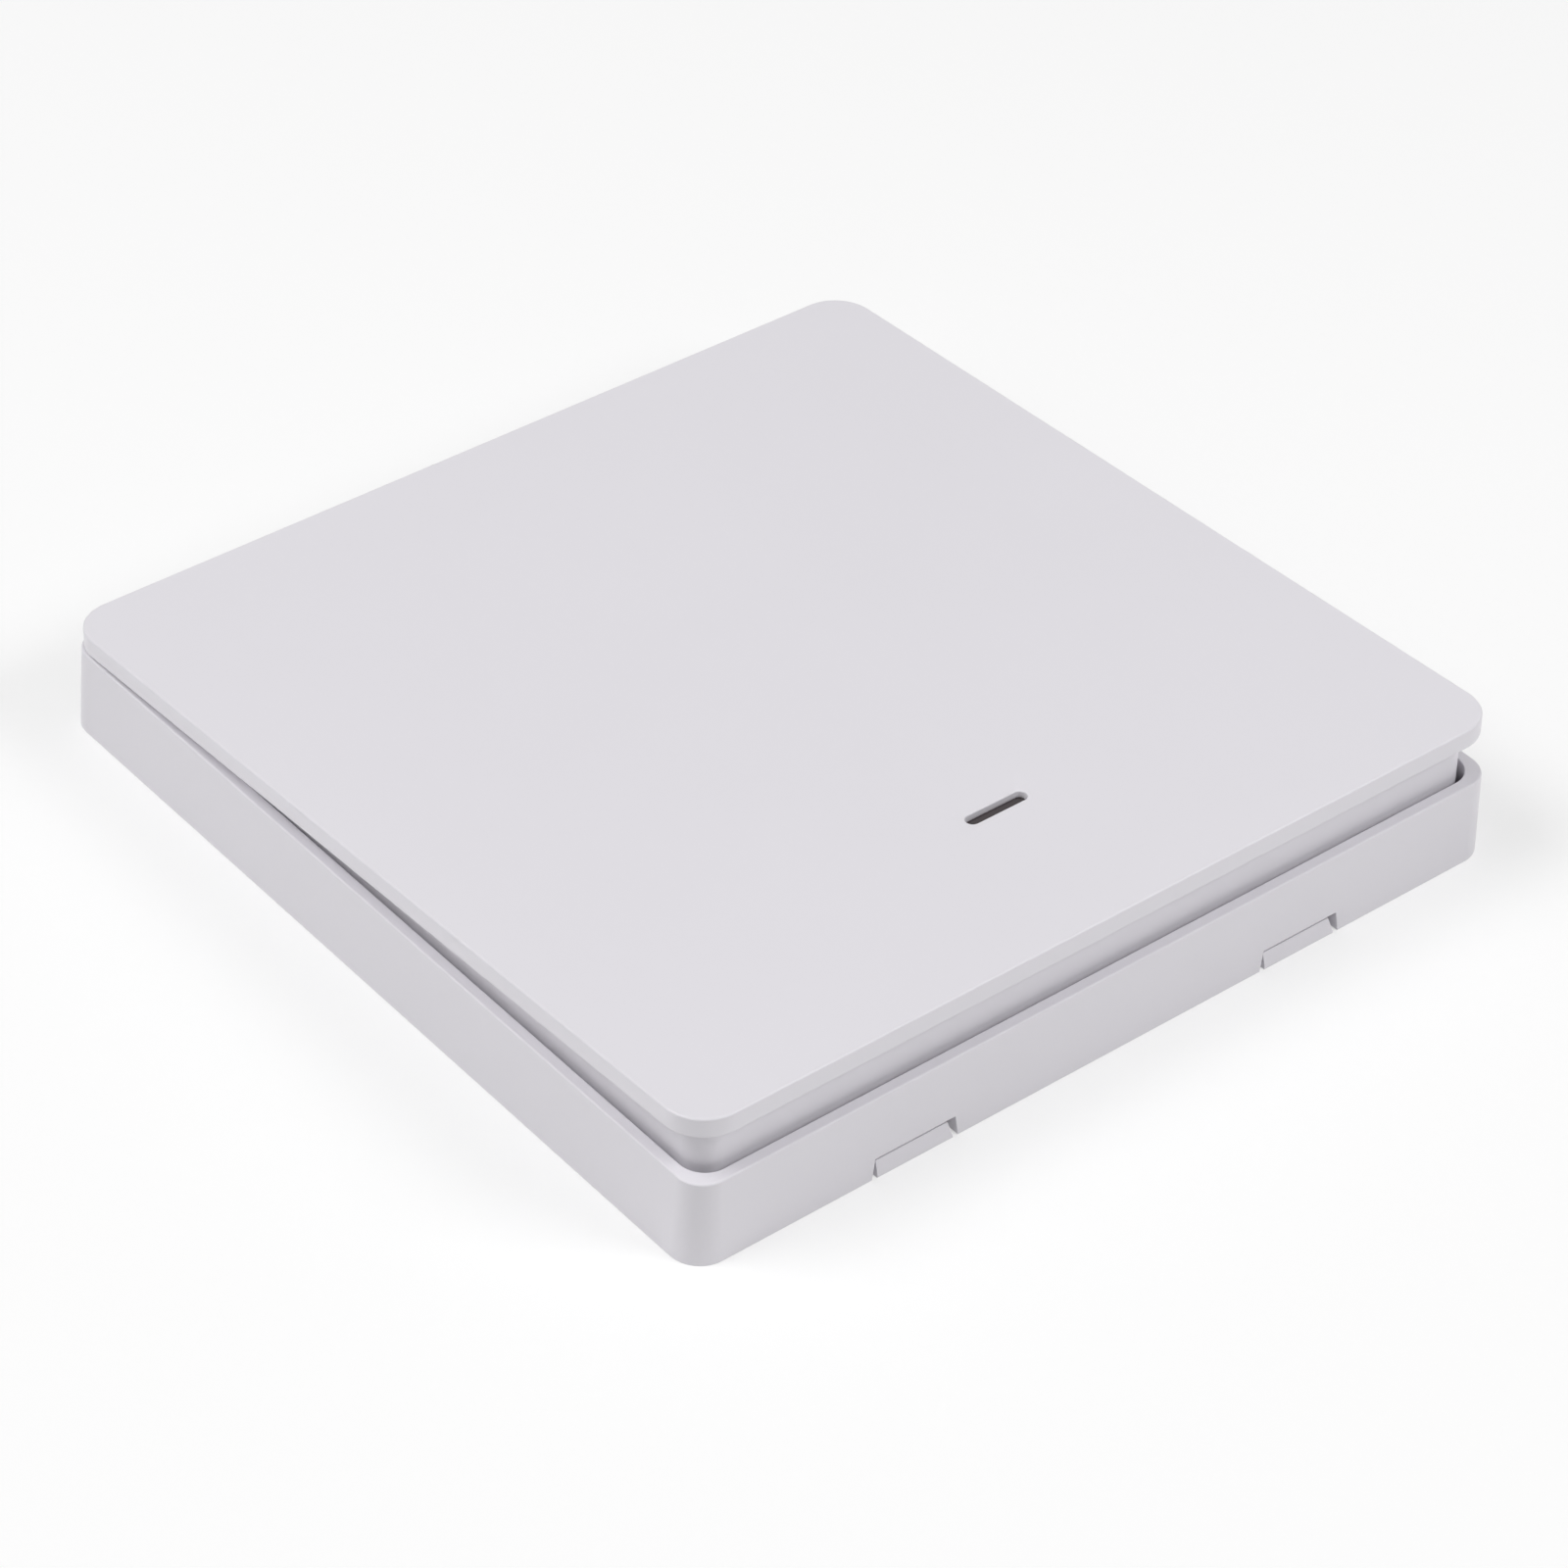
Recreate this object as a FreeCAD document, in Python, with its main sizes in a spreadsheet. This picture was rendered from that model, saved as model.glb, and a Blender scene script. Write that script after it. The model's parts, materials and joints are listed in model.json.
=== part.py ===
import FreeCAD, Part
import Sketcher
import math
import os
import re

# Wireless remote wall switch: a square surround and back plate that fix to the wall, a chassis over the
# electronics, and one large rocker that hinges near its upper edge and stands proud at its lower edge.
# The row frame has +Z out of the wall and +Y up the wall. Its origin is the middle of the back face.

document = FreeCAD.newDocument("wall_switch")
sheet = document.addObject("Spreadsheet::Sheet", "sizes")
subparts = {}

# Driving dimensions, in millimetres and degrees
sizes = {
    # Surround: the square ring that shows round the rocker
    "surround_size": 86.0,
    "surround_height": 8.1,
    "surround_draft": 0.4,
    "surround_corner": 2.9,
    "rim_width": 1.05,
    "rim_fillet": 0.2,
    "cavity_corner": 2.4,
    "bead_inset": 9.5,
    "bead_length": 7.0,
    "bead_depth": 0.45,
    "bead_height": 0.9,
    "bead_gap": 0.1,
    "notch_inset": 22.25,
    "notch_width": 8.2,
    "notch_flare": 0.3,
    "notch_height": 2.0,

    # Back plate: screwed to the wall box, carries everything else
    "plate_thickness": 1.8,
    "plate_clearance": 0.15,
    "wall_slot_inset": 11.4,
    "wall_slot_width": 4.4,
    "wall_slot_length": 9.0,
    "head_room": 4.2,
    "head_sink": 0.6,
    "lip_end_gap": 0.5,
    "lip_foot": 0.2,
    "lip_height": 1.3,
    "lip_slope": 0.55,
    "pad_recess_length": 50.0,
    "pad_recess_width": 14.0,
    "pad_recess_depth": 0.3,
    "pad_recess_inset": 21.4,

    # Hinge: moulded pins on the rocker in open clips on the back plate
    "hinge_inset": 6.6,
    "hinge_height": 4.4,
    "hinge_pin": 2.4,
    "hinge_fit": 0.05,
    "clip_wall": 0.9,
    "clip_length": 3.0,
    "clip_mouth": 2.0,
    "clip_foot_width": 3.2,
    "clip_inset": 13.9,
    "lug_thickness": 1.6,
    "lug_gap": 0.3,
    "lug_wall": 0.55,
    "pin_overrun": 0.4,

    # Rocker: cap plate over a carrier with a skirt
    "rest_tilt": 2.7,
    "cap_inset": 0.3,
    "cap_thickness": 1.9,
    "cap_corner": 3.8,
    "cap_fillet": 0.2,
    "cap_foot_chamfer": 0.2,
    "rocker_gap": 0.5,
    "web_thickness": 1.2,
    "skirt_inset": 2.0,
    "skirt_wall": 1.3,
    "skirt_depth": 5.6,
    "skirt_corner": 1.9,

    # Indicator window in the rocker and the light path below it
    "window_offset": 1.4,
    "window_inset": 16.4,
    "window_length": 6.3,
    "window_width": 1.25,
    "lens_sink": 0.65,
    "lens_fit": 0.05,
    "lens_flange_margin": 1.1,
    "lens_flange_thickness": 0.6,
    "pipe_width": 2.5,
    "pipe_flange_margin": 0.65,
    "pipe_flange_height": 0.35,
    "pipe_air_gap": 0.25,

    # Stops that hold the rocker at its raised rest
    "arm_spacing": 28.0,
    "arm_inset": 4.2,
    "arm_width": 5.0,
    "arm_thickness": 1.2,
    "barb_reach": 1.0,
    "barb_height": 0.9,
    "barb_tip": 0.25,
    "stop_gap": 0.15,
    "arm_room": 1.0,

    # Chassis over the electronics
    "skirt_room": 1.2,
    "chassis_wall": 1.2,
    "chassis_height": 6.7,
    "chassis_top": 0.8,
    "chassis_corner": 2.0,
    "clip_room": 0.75,
    "screw_inset": 4.6,
    "screw_shank": 1.9,
    "screw_fit": 0.05,
    "screw_hole_gap": 0.2,
    "screw_head": 3.8,
    "screw_head_height": 1.2,
    "screw_length": 4.4,
    "screw_recess_length": 2.3,
    "screw_recess_width": 0.6,
    "screw_recess_depth": 0.6,
    "cup_floor": 0.8,
    "cup_wall": 1.0,
    "cup_depth": 1.5,
    "boss_wall": 1.2,
    "pilot_floor": 0.5,
    "rib_width": 1.2,
    "rib_length": 8.0,

    # Return springs
    "spring_beside_board": 8.0,
    "spring_inset": 13.2,
    "spring_diameter": 4.6,
    "wire_diameter": 0.35,
    "spring_turns": 5.0,
    "chords_per_turn": 10.0,
    "spring_room": 0.5,
    "spring_pin_gap": 0.35,
    "spring_pin_height": 1.2,
    "seat_gap": 0.05,

    # Landing pads that quiet the pressed rocker
    "landing_pad": 4.0,
    "landing_gap": 0.15,
    "landing_beside_arm": 10.0,

    # Circuit board
    "board_width": 38.0,
    "board_front_room": 5.5,
    "board_back_room": 1.0,
    "board_standoff": 0.8,
    "board_thickness": 1.0,
    "board_corner": 1.5,
    "board_rib_width": 2.4,
    "board_pin": 1.6,
    "board_pin_fit": 0.15,
    "board_pin_inset": 2.6,

    # Push switch on the board
    "switch_lever": 10.5,
    "switch_size": 6.0,
    "switch_base_height": 1.7,
    "switch_floor": 0.5,
    "switch_cover_sheet": 0.2,
    "cover_tab_width": 2.0,
    "plunger_stem": 2.6,
    "plunger_flange": 3.4,
    "plunger_flange_height": 0.5,
    "plunger_height": 2.8,
    "plunger_fit": 0.1,
    "plunger_floor_gap": 0.05,
    "post_diameter": 2.2,
    "post_gap": 0.12,
    "post_room": 1.3,

    # Battery and its contacts
    "cell_diameter": 20.0,
    "cell_thickness": 3.2,
    "cell_room": 0.5,
    "cell_behind_switch": 20.4,
    "contact_sheet": 0.25,
    "contact_width": 6.0,
    "contact_lift": 0.2,
    "contact_run": 5.0,
    "contact_bump": 2.0,
    "clip_strap_width": 8.0,
    "clip_strap_gap": 0.05,
    "clip_foot_room": 1.4,
    "cell_access_room": 1.0,

    # Small parts soldered to the board
    "led_length": 3.2,
    "led_width": 1.6,
    "led_height": 1.1,
    "led_dome_length": 1.9,
    "chip_length": 5.0,
    "chip_width": 4.0,
    "chip_height": 1.4,
    "chip_offset": 8.0,
    "lead_pitch": 1.27,
    "lead_width": 0.4,
    "lead_reach": 0.9,
    "lead_height": 0.3,
    "crystal_length": 5.0,
    "crystal_width": 3.2,
    "crystal_height": 1.1,
    "crystal_corner": 0.6,
    "crystal_offset": 2.0,
    "chip_part_length": 1.6,
    "chip_part_width": 0.8,
    "capacitor_height": 0.8,
    "resistor_height": 0.45,
    "chip_part_pitch": 2.0,
    "capacitor_offset": 10.8,
    "resistor_ahead": 4.0,
    "antenna_wire": 0.8,
    "antenna_bend": 0.8,
    "chords_per_bend": 3.0,
    "antenna_inset": 2.2,
    "antenna_height": 1.3,
    "antenna_length": 17.0,
}

# Sizes and places that follow from the driving dimensions
followers = {
    # Outline of the surround's cavity and what lies in it
    "surround_half": "surround_size / 2",
    "cavity_half": "surround_half - surround_draft - rim_width",
    "plate_half": "cavity_half - plate_clearance",
    "bead_x": "surround_half - bead_inset - bead_length / 2",
    "bead_z": "plate_thickness + bead_gap",
    "lip_root": "plate_half - plate_thickness",
    "lip_width": "notch_width + 2 * notch_flare - 2 * lip_end_gap",
    "lip_narrowing": "notch_flare * lip_height / notch_height",
    "notch_x": "surround_half - notch_inset",
    "wall_slot_x": "plate_half - wall_slot_inset",
    "pad_recess_y": "plate_half - pad_recess_inset",

    # Levels above the wall with the rocker pressed, and the hinge axis
    "hinge_y": "surround_half - hinge_inset",
    "cap_half": "surround_half - cap_inset",
    "cap_z": "surround_height + rocker_gap",
    "web_z": "cap_z - web_thickness",
    "skirt_half": "cap_half - skirt_inset",
    "skirt_inner_half": "skirt_half - skirt_wall",
    "clip_radius": "hinge_pin / 2 + hinge_fit + clip_wall",
    "clip_inner_x": "plate_half - clip_inset - clip_length",
    "lug_x": "clip_inner_x - lug_gap - lug_thickness",
    "lug_radius": "hinge_pin / 2 + lug_wall",
    "lift": "tan(rest_tilt)",

    # Chassis outline, board outline and what stands on the board
    "chassis_half": "skirt_inner_half - skirt_room",
    "chassis_front": "-chassis_half",
    "chassis_back": "hinge_y - clip_radius - clip_room",
    "chassis_under": "chassis_height - chassis_top",
    "chassis_inner_half": "chassis_half - chassis_wall",
    "board_front": "chassis_front + chassis_wall + board_front_room",
    "board_back": "chassis_back - chassis_wall - board_back_room",
    "board_z": "plate_thickness + board_standoff",
    "board_top": "board_z + board_thickness",
    "board_pin_x": "board_width / 2 - board_pin_inset",
    "board_pin_front": "board_front + board_pin_inset",
    "board_pin_back": "board_back - board_pin_inset",
    "screw_x": "chassis_half - screw_inset",
    "screw_front": "chassis_front + screw_inset",
    "screw_back": "chassis_back - screw_inset",
    "screw_seat": "chassis_height - cup_depth",
    "boss_top": "screw_seat - cup_floor",
    "screw_hole": "screw_shank + 2 * screw_fit",
    "boss_width": "screw_hole + 2 * boss_wall",
    "cup_width": "screw_head + 2 * screw_hole_gap + 2 * cup_wall",
    "arm_y": "chassis_front + arm_inset",
    "arm_rise": "(hinge_y - arm_y) * lift",
    "barb_top": "chassis_under - stop_gap - arm_rise",
    "spring_x": "board_width / 2 + spring_beside_board",
    "spring_y": "chassis_front + spring_inset",
    "landing_x": "arm_spacing / 2 + landing_beside_arm",
    "spring_hole": "spring_diameter + 2 * spring_room",
    "spring_pin": "spring_diameter - 2 * wire_diameter - 2 * spring_pin_gap",
    "window_y": "-cap_half + window_inset",
    "switch_y": "hinge_y - switch_lever",
    "switch_top": "board_top + switch_base_height",
    "plunger_travel": "switch_lever * lift",
    "plunger_top": "board_top + plunger_height",
    "plunger_bottom": "board_top + switch_floor + plunger_travel + plunger_floor_gap",
    "post_tip": "plunger_top + post_gap - plunger_travel",
    "post_opening": "post_diameter + 2 * post_room",
    "cell_y": "switch_y - cell_behind_switch",
    "cell_z": "plate_thickness + contact_sheet + contact_lift",
    "cell_cutout": "cell_diameter + 2 * cell_room",
    "strap_z": "cell_z + cell_thickness + clip_strap_gap",
    "strap_half": "cell_cutout / 2 + clip_foot_room",
    "chip_y": "(window_y + cell_y - cell_cutout / 2) / 2",
}


def bound(text):
    """Formula text with every size name pointed at the sheet."""
    known = set(sizes) | set(followers)
    return re.sub(r"[a-z_]+", lambda word: "sizes." + word[0] if word[0] in known else word[0], text)


def fill_sheet():
    """One row a value: a plain number, or a formula of the rows above it."""
    rows = [(name, repr(value)) for name, value in sizes.items()]
    rows += [(name, "=" + formula) for name, formula in followers.items()]
    for index, (name, content) in enumerate(rows, 1):
        sheet.set("A%d" % index, name)
        sheet.set("B%d" % index, content)
        sheet.setAlias("B%d" % index, name)
    document.recompute()


def bind(item, prop, text):
    item.setExpression(prop, bound(text))


def number(name):
    """A size's value, for shapes that are worked out in code."""
    return float(sheet.get(name))


def value(item, text):
    """What a formula of sizes comes to."""
    return float(item.evalExpression(bound(text)))


def new_body(label):
    """One moulded or cut piece, kept under its own name."""
    body = document.addObject("PartDesign::Body", label)
    body.Label = label
    subparts[label] = body
    return body


def keep(label, item):
    """A finished piece made from plain solids, kept under its own name."""
    item.Label = label
    subparts[label] = item
    return item


def hang_on_hinge(item):
    """Pieces of the rocker are drawn level about the hinge axis, and rest tilted on it."""
    turn = "rotation(vector(1; 0; 0); -rest_tilt)"
    bind(item, "Placement", "placement(vector(0; hinge_y; hinge_height); %s)" % turn)


def origin_plane(body, role):
    return next(item for item in body.Origin.OriginFeatures if item.Role == role)


def new_sketch(body, role="XY_Plane", offset="0"):
    """An empty sketch on one of the body's own origin planes, moved along its normal."""
    sketch = body.newObject("Sketcher::SketchObject", body.Label + "_outline")
    sketch.AttachmentSupport = [(origin_plane(body, role), "")]
    sketch.MapMode = "FlatFace"
    bind(sketch, "AttachmentOffset.Base.z", offset)
    return sketch


def hold_point(sketch, geometry, point, x, y):
    """Fix a point of a sketch at two formulas."""
    for kind, text in (("DistanceX", x), ("DistanceY", y)):
        index = sketch.addConstraint(Sketcher.Constraint(kind, -1, 1, geometry, point, value(sketch, text)))
        bind(sketch, "Constraints[%d]" % index, text)


def hold_size(sketch, kind, geometry, text):
    """Fix the radius or diameter of an arc or circle at a formula."""
    index = sketch.addConstraint(Sketcher.Constraint(kind, geometry, value(sketch, text)))
    bind(sketch, "Constraints[%d]" % index, text)


def draw_polygon(sketch, corners):
    """Closed straight-sided outline through corners given as pairs of formulas."""
    places = [FreeCAD.Vector(value(sketch, x), value(sketch, y), 0) for x, y in corners]
    first = sketch.GeometryCount
    count = len(places)
    for index in range(count):
        sketch.addGeometry(Part.LineSegment(places[index], places[(index + 1) % count]), False)
    for index in range(count):
        following = first + (index + 1) % count
        sketch.addConstraint(Sketcher.Constraint("Coincident", first + index, 2, following, 1))
        hold_point(sketch, first + index, 1, *corners[index])


def draw_rectangle(sketch, x, y, length, width):
    """Rectangle of a length along x and a width along y about its middle."""
    low_x, high_x = "%s - (%s) / 2" % (x, length), "%s + (%s) / 2" % (x, length)
    low_y, high_y = "%s - (%s) / 2" % (y, width), "%s + (%s) / 2" % (y, width)
    draw_polygon(sketch, [(low_x, low_y), (high_x, low_y), (high_x, high_y), (low_x, high_y)])


def draw_rounded(sketch, low_x, high_x, low_y, high_y, radius):
    """Rectangle between four formulas with rounded corners."""
    left = "%s + (%s)" % (low_x, radius)
    right = "%s - (%s)" % (high_x, radius)
    front = "%s + (%s)" % (low_y, radius)
    back = "%s - (%s)" % (high_y, radius)
    ends = [
        ((left, low_y), (right, low_y)), ((high_x, front), (high_x, back)),
        ((right, high_y), (left, high_y)), ((low_x, back), (low_x, front))]
    middles = [(right, front), (right, back), (left, back), (left, front)]
    upward = FreeCAD.Vector(0, 0, 1)
    first = sketch.GeometryCount
    reach = value(sketch, radius)
    for start, end in ends:
        points = [FreeCAD.Vector(value(sketch, x), value(sketch, y), 0) for x, y in (start, end)]
        sketch.addGeometry(Part.LineSegment(*points), False)
    for index, (x, y) in enumerate(middles):
        circle = Part.Circle(FreeCAD.Vector(value(sketch, x), value(sketch, y), 0), upward, reach)
        angle = (index - 1) * math.pi / 2
        sketch.addGeometry(Part.ArcOfCircle(circle, angle, angle + math.pi / 2), False)
    for index, (start, end) in enumerate(ends):
        hold_point(sketch, first + index, 1, *start)
        hold_point(sketch, first + index, 2, *end)
    for index in range(4):
        arc = first + 4 + index
        sketch.addConstraint(Sketcher.Constraint("Coincident", arc, 1, first + index, 2))
        sketch.addConstraint(Sketcher.Constraint("Coincident", arc, 2, first + (index + 1) % 4, 1))
        hold_size(sketch, "Radius", arc, radius)


def draw_circle(sketch, x, y, diameter):
    centre = FreeCAD.Vector(value(sketch, x), value(sketch, y), 0)
    circle = Part.Circle(centre, FreeCAD.Vector(0, 0, 1), value(sketch, diameter) / 2)
    index = sketch.addGeometry(circle, False)
    hold_point(sketch, index, 3, x, y)
    hold_size(sketch, "Diameter", index, diameter)


def draw_slot(sketch, x, y, length, width):
    """Round-ended slot along x, from end to end as long as length."""
    first = sketch.GeometryCount
    middle_y = value(sketch, y)
    radius = value(sketch, width) / 2
    centres = ["%s - (%s - %s) / 2" % (x, length, width), "%s + (%s - %s) / 2" % (x, length, width)]
    left, right = [value(sketch, text) for text in centres]
    for centre, angle in ((left, math.pi / 2), (right, -math.pi / 2)):
        circle = Part.Circle(FreeCAD.Vector(centre, middle_y, 0), FreeCAD.Vector(0, 0, 1), radius)
        sketch.addGeometry(Part.ArcOfCircle(circle, angle, angle + math.pi), False)
    for start, end, side in ((left, right, -radius), (right, left, radius)):
        points = [FreeCAD.Vector(along, middle_y + side, 0) for along in (start, end)]
        sketch.addGeometry(Part.LineSegment(*points), False)
    for index, text in enumerate(centres):
        hold_point(sketch, first + index, 3, text, y)
        hold_size(sketch, "Diameter", first + index, width)
        sketch.addConstraint(Sketcher.Constraint("Vertical", first + index, 3, first + index, 1))
        sketch.addConstraint(Sketcher.Constraint("Vertical", first + index, 3, first + index, 2))
    for arc, end, line, start in ((0, 2, 2, 1), (2, 2, 1, 1), (1, 2, 3, 1), (3, 2, 0, 1)):
        sketch.addConstraint(Sketcher.Constraint("Coincident", first + arc, end, first + line, start))


def pad(sketch, height, taper=None):
    """Material from the sketch along its normal."""
    feature = sketch.getParentGeoFeatureGroup().newObject("PartDesign::Pad", "pad")
    feature.Profile = sketch
    bind(feature, "Length", height)
    if taper:
        bind(feature, "TaperAngle", taper)
    sketch.Visibility = False
    return feature


def pocket(sketch, depth, along_normal=False):
    """A cut from the sketch against its normal, or along it."""
    feature = sketch.getParentGeoFeatureGroup().newObject("PartDesign::Pocket", "pocket")
    feature.Profile = sketch
    feature.Reversed = along_normal
    bind(feature, "Length", depth)
    sketch.Visibility = False
    return feature


def mirrored(features, role="YZ_Plane"):
    """The same features again on the other side of an origin plane."""
    body = features[0].getParentGeoFeatureGroup()
    document.recompute()
    feature = body.newObject("PartDesign::Mirrored", "mirrored")
    feature.Originals = features
    feature.MirrorPlane = (origin_plane(body, role), [""])
    body.Tip = feature
    document.recompute()
    return feature


def turned(features, count):
    """The same features again at equal turns about the Z axis."""
    body = features[0].getParentGeoFeatureGroup()
    document.recompute()
    feature = body.newObject("PartDesign::PolarPattern", "turned")
    feature.Originals = features
    feature.Axis = (origin_plane(body, "Z_Axis"), [""])
    feature.Angle = 360
    feature.Occurrences = count
    body.Tip = feature
    document.recompute()
    return feature


def softened_edges(feature, kind, prop, amount, wanted):
    """A fillet or chamfer on the edges whose vertices and middle all pass a test."""
    body = feature.getParentGeoFeatureGroup()
    document.recompute()
    names = []
    for index, edge in enumerate(feature.Shape.Edges):
        points = [vertex.Point for vertex in edge.Vertexes]
        middle = (edge.FirstParameter + edge.LastParameter) / 2
        if all(wanted(point) for point in points + [edge.valueAt(middle)]):
            names.append("Edge%d" % (index + 1))
    softened = body.newObject("PartDesign::" + kind, kind.lower())
    softened.Base = (feature, names)
    bind(softened, prop, amount)
    document.recompute()
    return softened


def block(name, x, y, z, length, width, height):
    """Plain box about (x, y) that stands on z."""
    box = document.addObject("Part::Box", name)
    bind(box, "Length", length)
    bind(box, "Width", width)
    bind(box, "Height", height)
    bind(box, "Placement.Base.x", "%s - (%s) / 2" % (x, length))
    bind(box, "Placement.Base.y", "%s - (%s) / 2" % (y, width))
    bind(box, "Placement.Base.z", z)
    return box


def rod(name, x, y, z, diameter, height):
    """Plain upright cylinder about (x, y) that stands on z."""
    cylinder = document.addObject("Part::Cylinder", name)
    bind(cylinder, "Radius", "(%s) / 2" % diameter)
    bind(cylinder, "Height", height)
    bind(cylinder, "Placement.Base.x", x)
    bind(cylinder, "Placement.Base.y", y)
    bind(cylinder, "Placement.Base.z", z)
    return cylinder


def fused(name, pieces):
    result = document.addObject("Part::MultiFuse", name)
    result.Shapes = pieces
    return result


def less(name, base, tool):
    result = document.addObject("Part::Cut", name)
    result.Base = base
    result.Tool = tool
    return result


def grouped(name, pieces):
    """Separate solids of one kind that share a name."""
    result = document.addObject("Part::Compound", name)
    result.Links = pieces
    return result


def make_surround():
    """Drafted square ring with inner snap beads and two pry notches in its lower wall."""
    body = new_body("surround_frame")
    sketch = new_sketch(body)
    draw_rounded(sketch, "-surround_half", "surround_half", "-surround_half", "surround_half",
                 "surround_corner")
    pad(sketch, "surround_height", "-atan(surround_draft / surround_height)")
    cavity = new_sketch(body, offset="surround_height")
    draw_rounded(cavity, "-cavity_half", "cavity_half", "-cavity_half", "cavity_half", "cavity_corner")
    hollow = pocket(cavity, "surround_height")
    softened_edges(hollow, "Fillet", "Radius", "rim_fillet",
                   lambda point: on_rim(point) and not in_cavity(point))
    beads = []
    for side in ("-", ""):
        profile = new_sketch(body, "YZ_Plane", side + "bead_x - bead_length / 2")
        draw_polygon(profile, [
            ("cavity_half + rim_width / 2", "bead_z"),
            ("cavity_half", "bead_z"),
            ("cavity_half - bead_depth", "bead_z + bead_height / 2"),
            ("cavity_half", "bead_z + bead_height"),
            ("cavity_half + rim_width / 2", "bead_z + bead_height")])
        beads.append(pad(profile, "bead_length"))
    turned(beads, 4)
    notches = new_sketch(body, "XZ_Plane", "surround_half + rim_width")
    for side in ("-", ""):
        middle = side + "notch_x"
        draw_polygon(notches, [
            (middle + " - notch_width / 2 - notch_flare", "0"),
            (middle + " + notch_width / 2 + notch_flare", "0"),
            (middle + " + notch_width / 2", "notch_height"),
            (middle + " - notch_width / 2", "notch_height")])
    pocket(notches, "2 * rim_width + surround_half - cavity_half")


def on_rim(point):
    return abs(point.z - number("surround_height")) < 1e-4


def in_cavity(point):
    return max(abs(point.x), abs(point.y)) < number("cavity_half") + 1e-4


def make_back_plate():
    """Flat plate with wall slots, pry lips, hinge clips, bosses and seats, all moulded in one."""
    body = new_body("back_plate")
    sketch = new_sketch(body)
    corner = "cavity_corner - plate_clearance"
    draw_rounded(sketch, "-plate_half", "plate_half", "-plate_half", "plate_half", corner)
    pad(sketch, "plate_thickness")
    lip = new_sketch(body, "XZ_Plane", "lip_root")
    draw_polygon(lip, [
        ("notch_x - lip_width / 2", "0"),
        ("notch_x + lip_width / 2", "0"),
        ("notch_x + lip_width / 2 - lip_narrowing", "lip_height"),
        ("notch_x - lip_width / 2 + lip_narrowing", "lip_height")])
    mirrored([pad(lip, "surround_half - lip_root")])
    slope = new_sketch(body, "YZ_Plane", "surround_half")
    draw_polygon(slope, [
        ("-surround_half", "lip_foot"),
        ("-surround_half + lip_slope", "lip_height"),
        ("-surround_half + lip_slope", "lip_height + lip_foot"),
        ("-surround_half - lip_slope", "lip_height + lip_foot"),
        ("-surround_half - lip_slope", "lip_foot")])
    pocket(slope, "surround_size")

    slots = new_sketch(body, offset="plate_thickness")
    recesses = new_sketch(body, offset="plate_thickness")
    windows = new_sketch(body, offset="plate_thickness")
    for side in ("-", ""):
        draw_slot(slots, side + "wall_slot_x", "0", "wall_slot_length", "wall_slot_width")
        draw_slot(recesses, side + "wall_slot_x", "0",
                  "wall_slot_length + head_room", "wall_slot_width + head_room")
        draw_rectangle(windows, side + "arm_spacing / 2", "arm_y - barb_reach / 2",
                       "arm_width + 2 * arm_room", "arm_thickness + barb_reach + 2 * arm_room")
    pocket(slots, "plate_thickness")
    pocket(recesses, "head_sink")
    pocket(windows, "plate_thickness")
    pads = new_sketch(body)
    for side in ("-", ""):
        draw_rectangle(pads, "0", side + "pad_recess_y", "pad_recess_length", "pad_recess_width")
    pocket(pads, "pad_recess_depth", along_normal=True)

    bosses = new_sketch(body, offset="plate_thickness")
    pilots = new_sketch(body, offset="boss_top")
    supports = new_sketch(body, offset="plate_thickness")
    pins = new_sketch(body, offset="board_z")
    for side, row in (("-", "front"), ("", "back")):
        draw_rectangle(bosses, side + "screw_x", "screw_" + row, "boss_width", "boss_width")
        draw_circle(pilots, side + "screw_x", "screw_" + row, "screw_hole")
        draw_rectangle(supports, side + "board_pin_x", "(board_front + board_back) / 2",
                       "board_rib_width", "board_back - board_front")
        draw_circle(pins, side + "board_pin_x", "board_pin_" + row, "board_pin")
    pad(bosses, "boss_top - plate_thickness")
    pocket(pilots, "boss_top - pilot_floor")
    pad(supports, "board_standoff")
    pad(pins, "board_thickness")
    spring_seats = new_sketch(body, offset="plate_thickness")
    for side in ("-", ""):
        draw_circle(spring_seats, side + "spring_x", "spring_y", "spring_pin")
    pad(spring_seats, "spring_pin_height")

    ring = new_sketch(body, "YZ_Plane", "clip_inner_x")
    draw_circle(ring, "hinge_y", "hinge_height", "2 * clip_radius")
    ring_pad = pad(ring, "clip_length")
    foot = new_sketch(body, "YZ_Plane", "clip_inner_x")
    draw_rectangle(foot, "hinge_y", "(plate_thickness + hinge_height) / 2", "clip_foot_width",
                   "hinge_height - plate_thickness")
    foot_pad = pad(foot, "clip_length")
    bore = new_sketch(body, "YZ_Plane", "clip_inner_x")
    draw_circle(bore, "hinge_y", "hinge_height", "hinge_pin + 2 * hinge_fit")
    bore_cut = pocket(bore, "clip_length", along_normal=True)
    mouth = new_sketch(body, "YZ_Plane", "clip_inner_x")
    draw_rectangle(mouth, "hinge_y", "hinge_height + clip_radius / 2 + clip_wall / 2", "clip_mouth",
                   "clip_radius + clip_wall")
    mouth_cut = pocket(mouth, "clip_length", along_normal=True)
    mirrored([ring_pad, foot_pad, bore_cut, mouth_cut])


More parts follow.
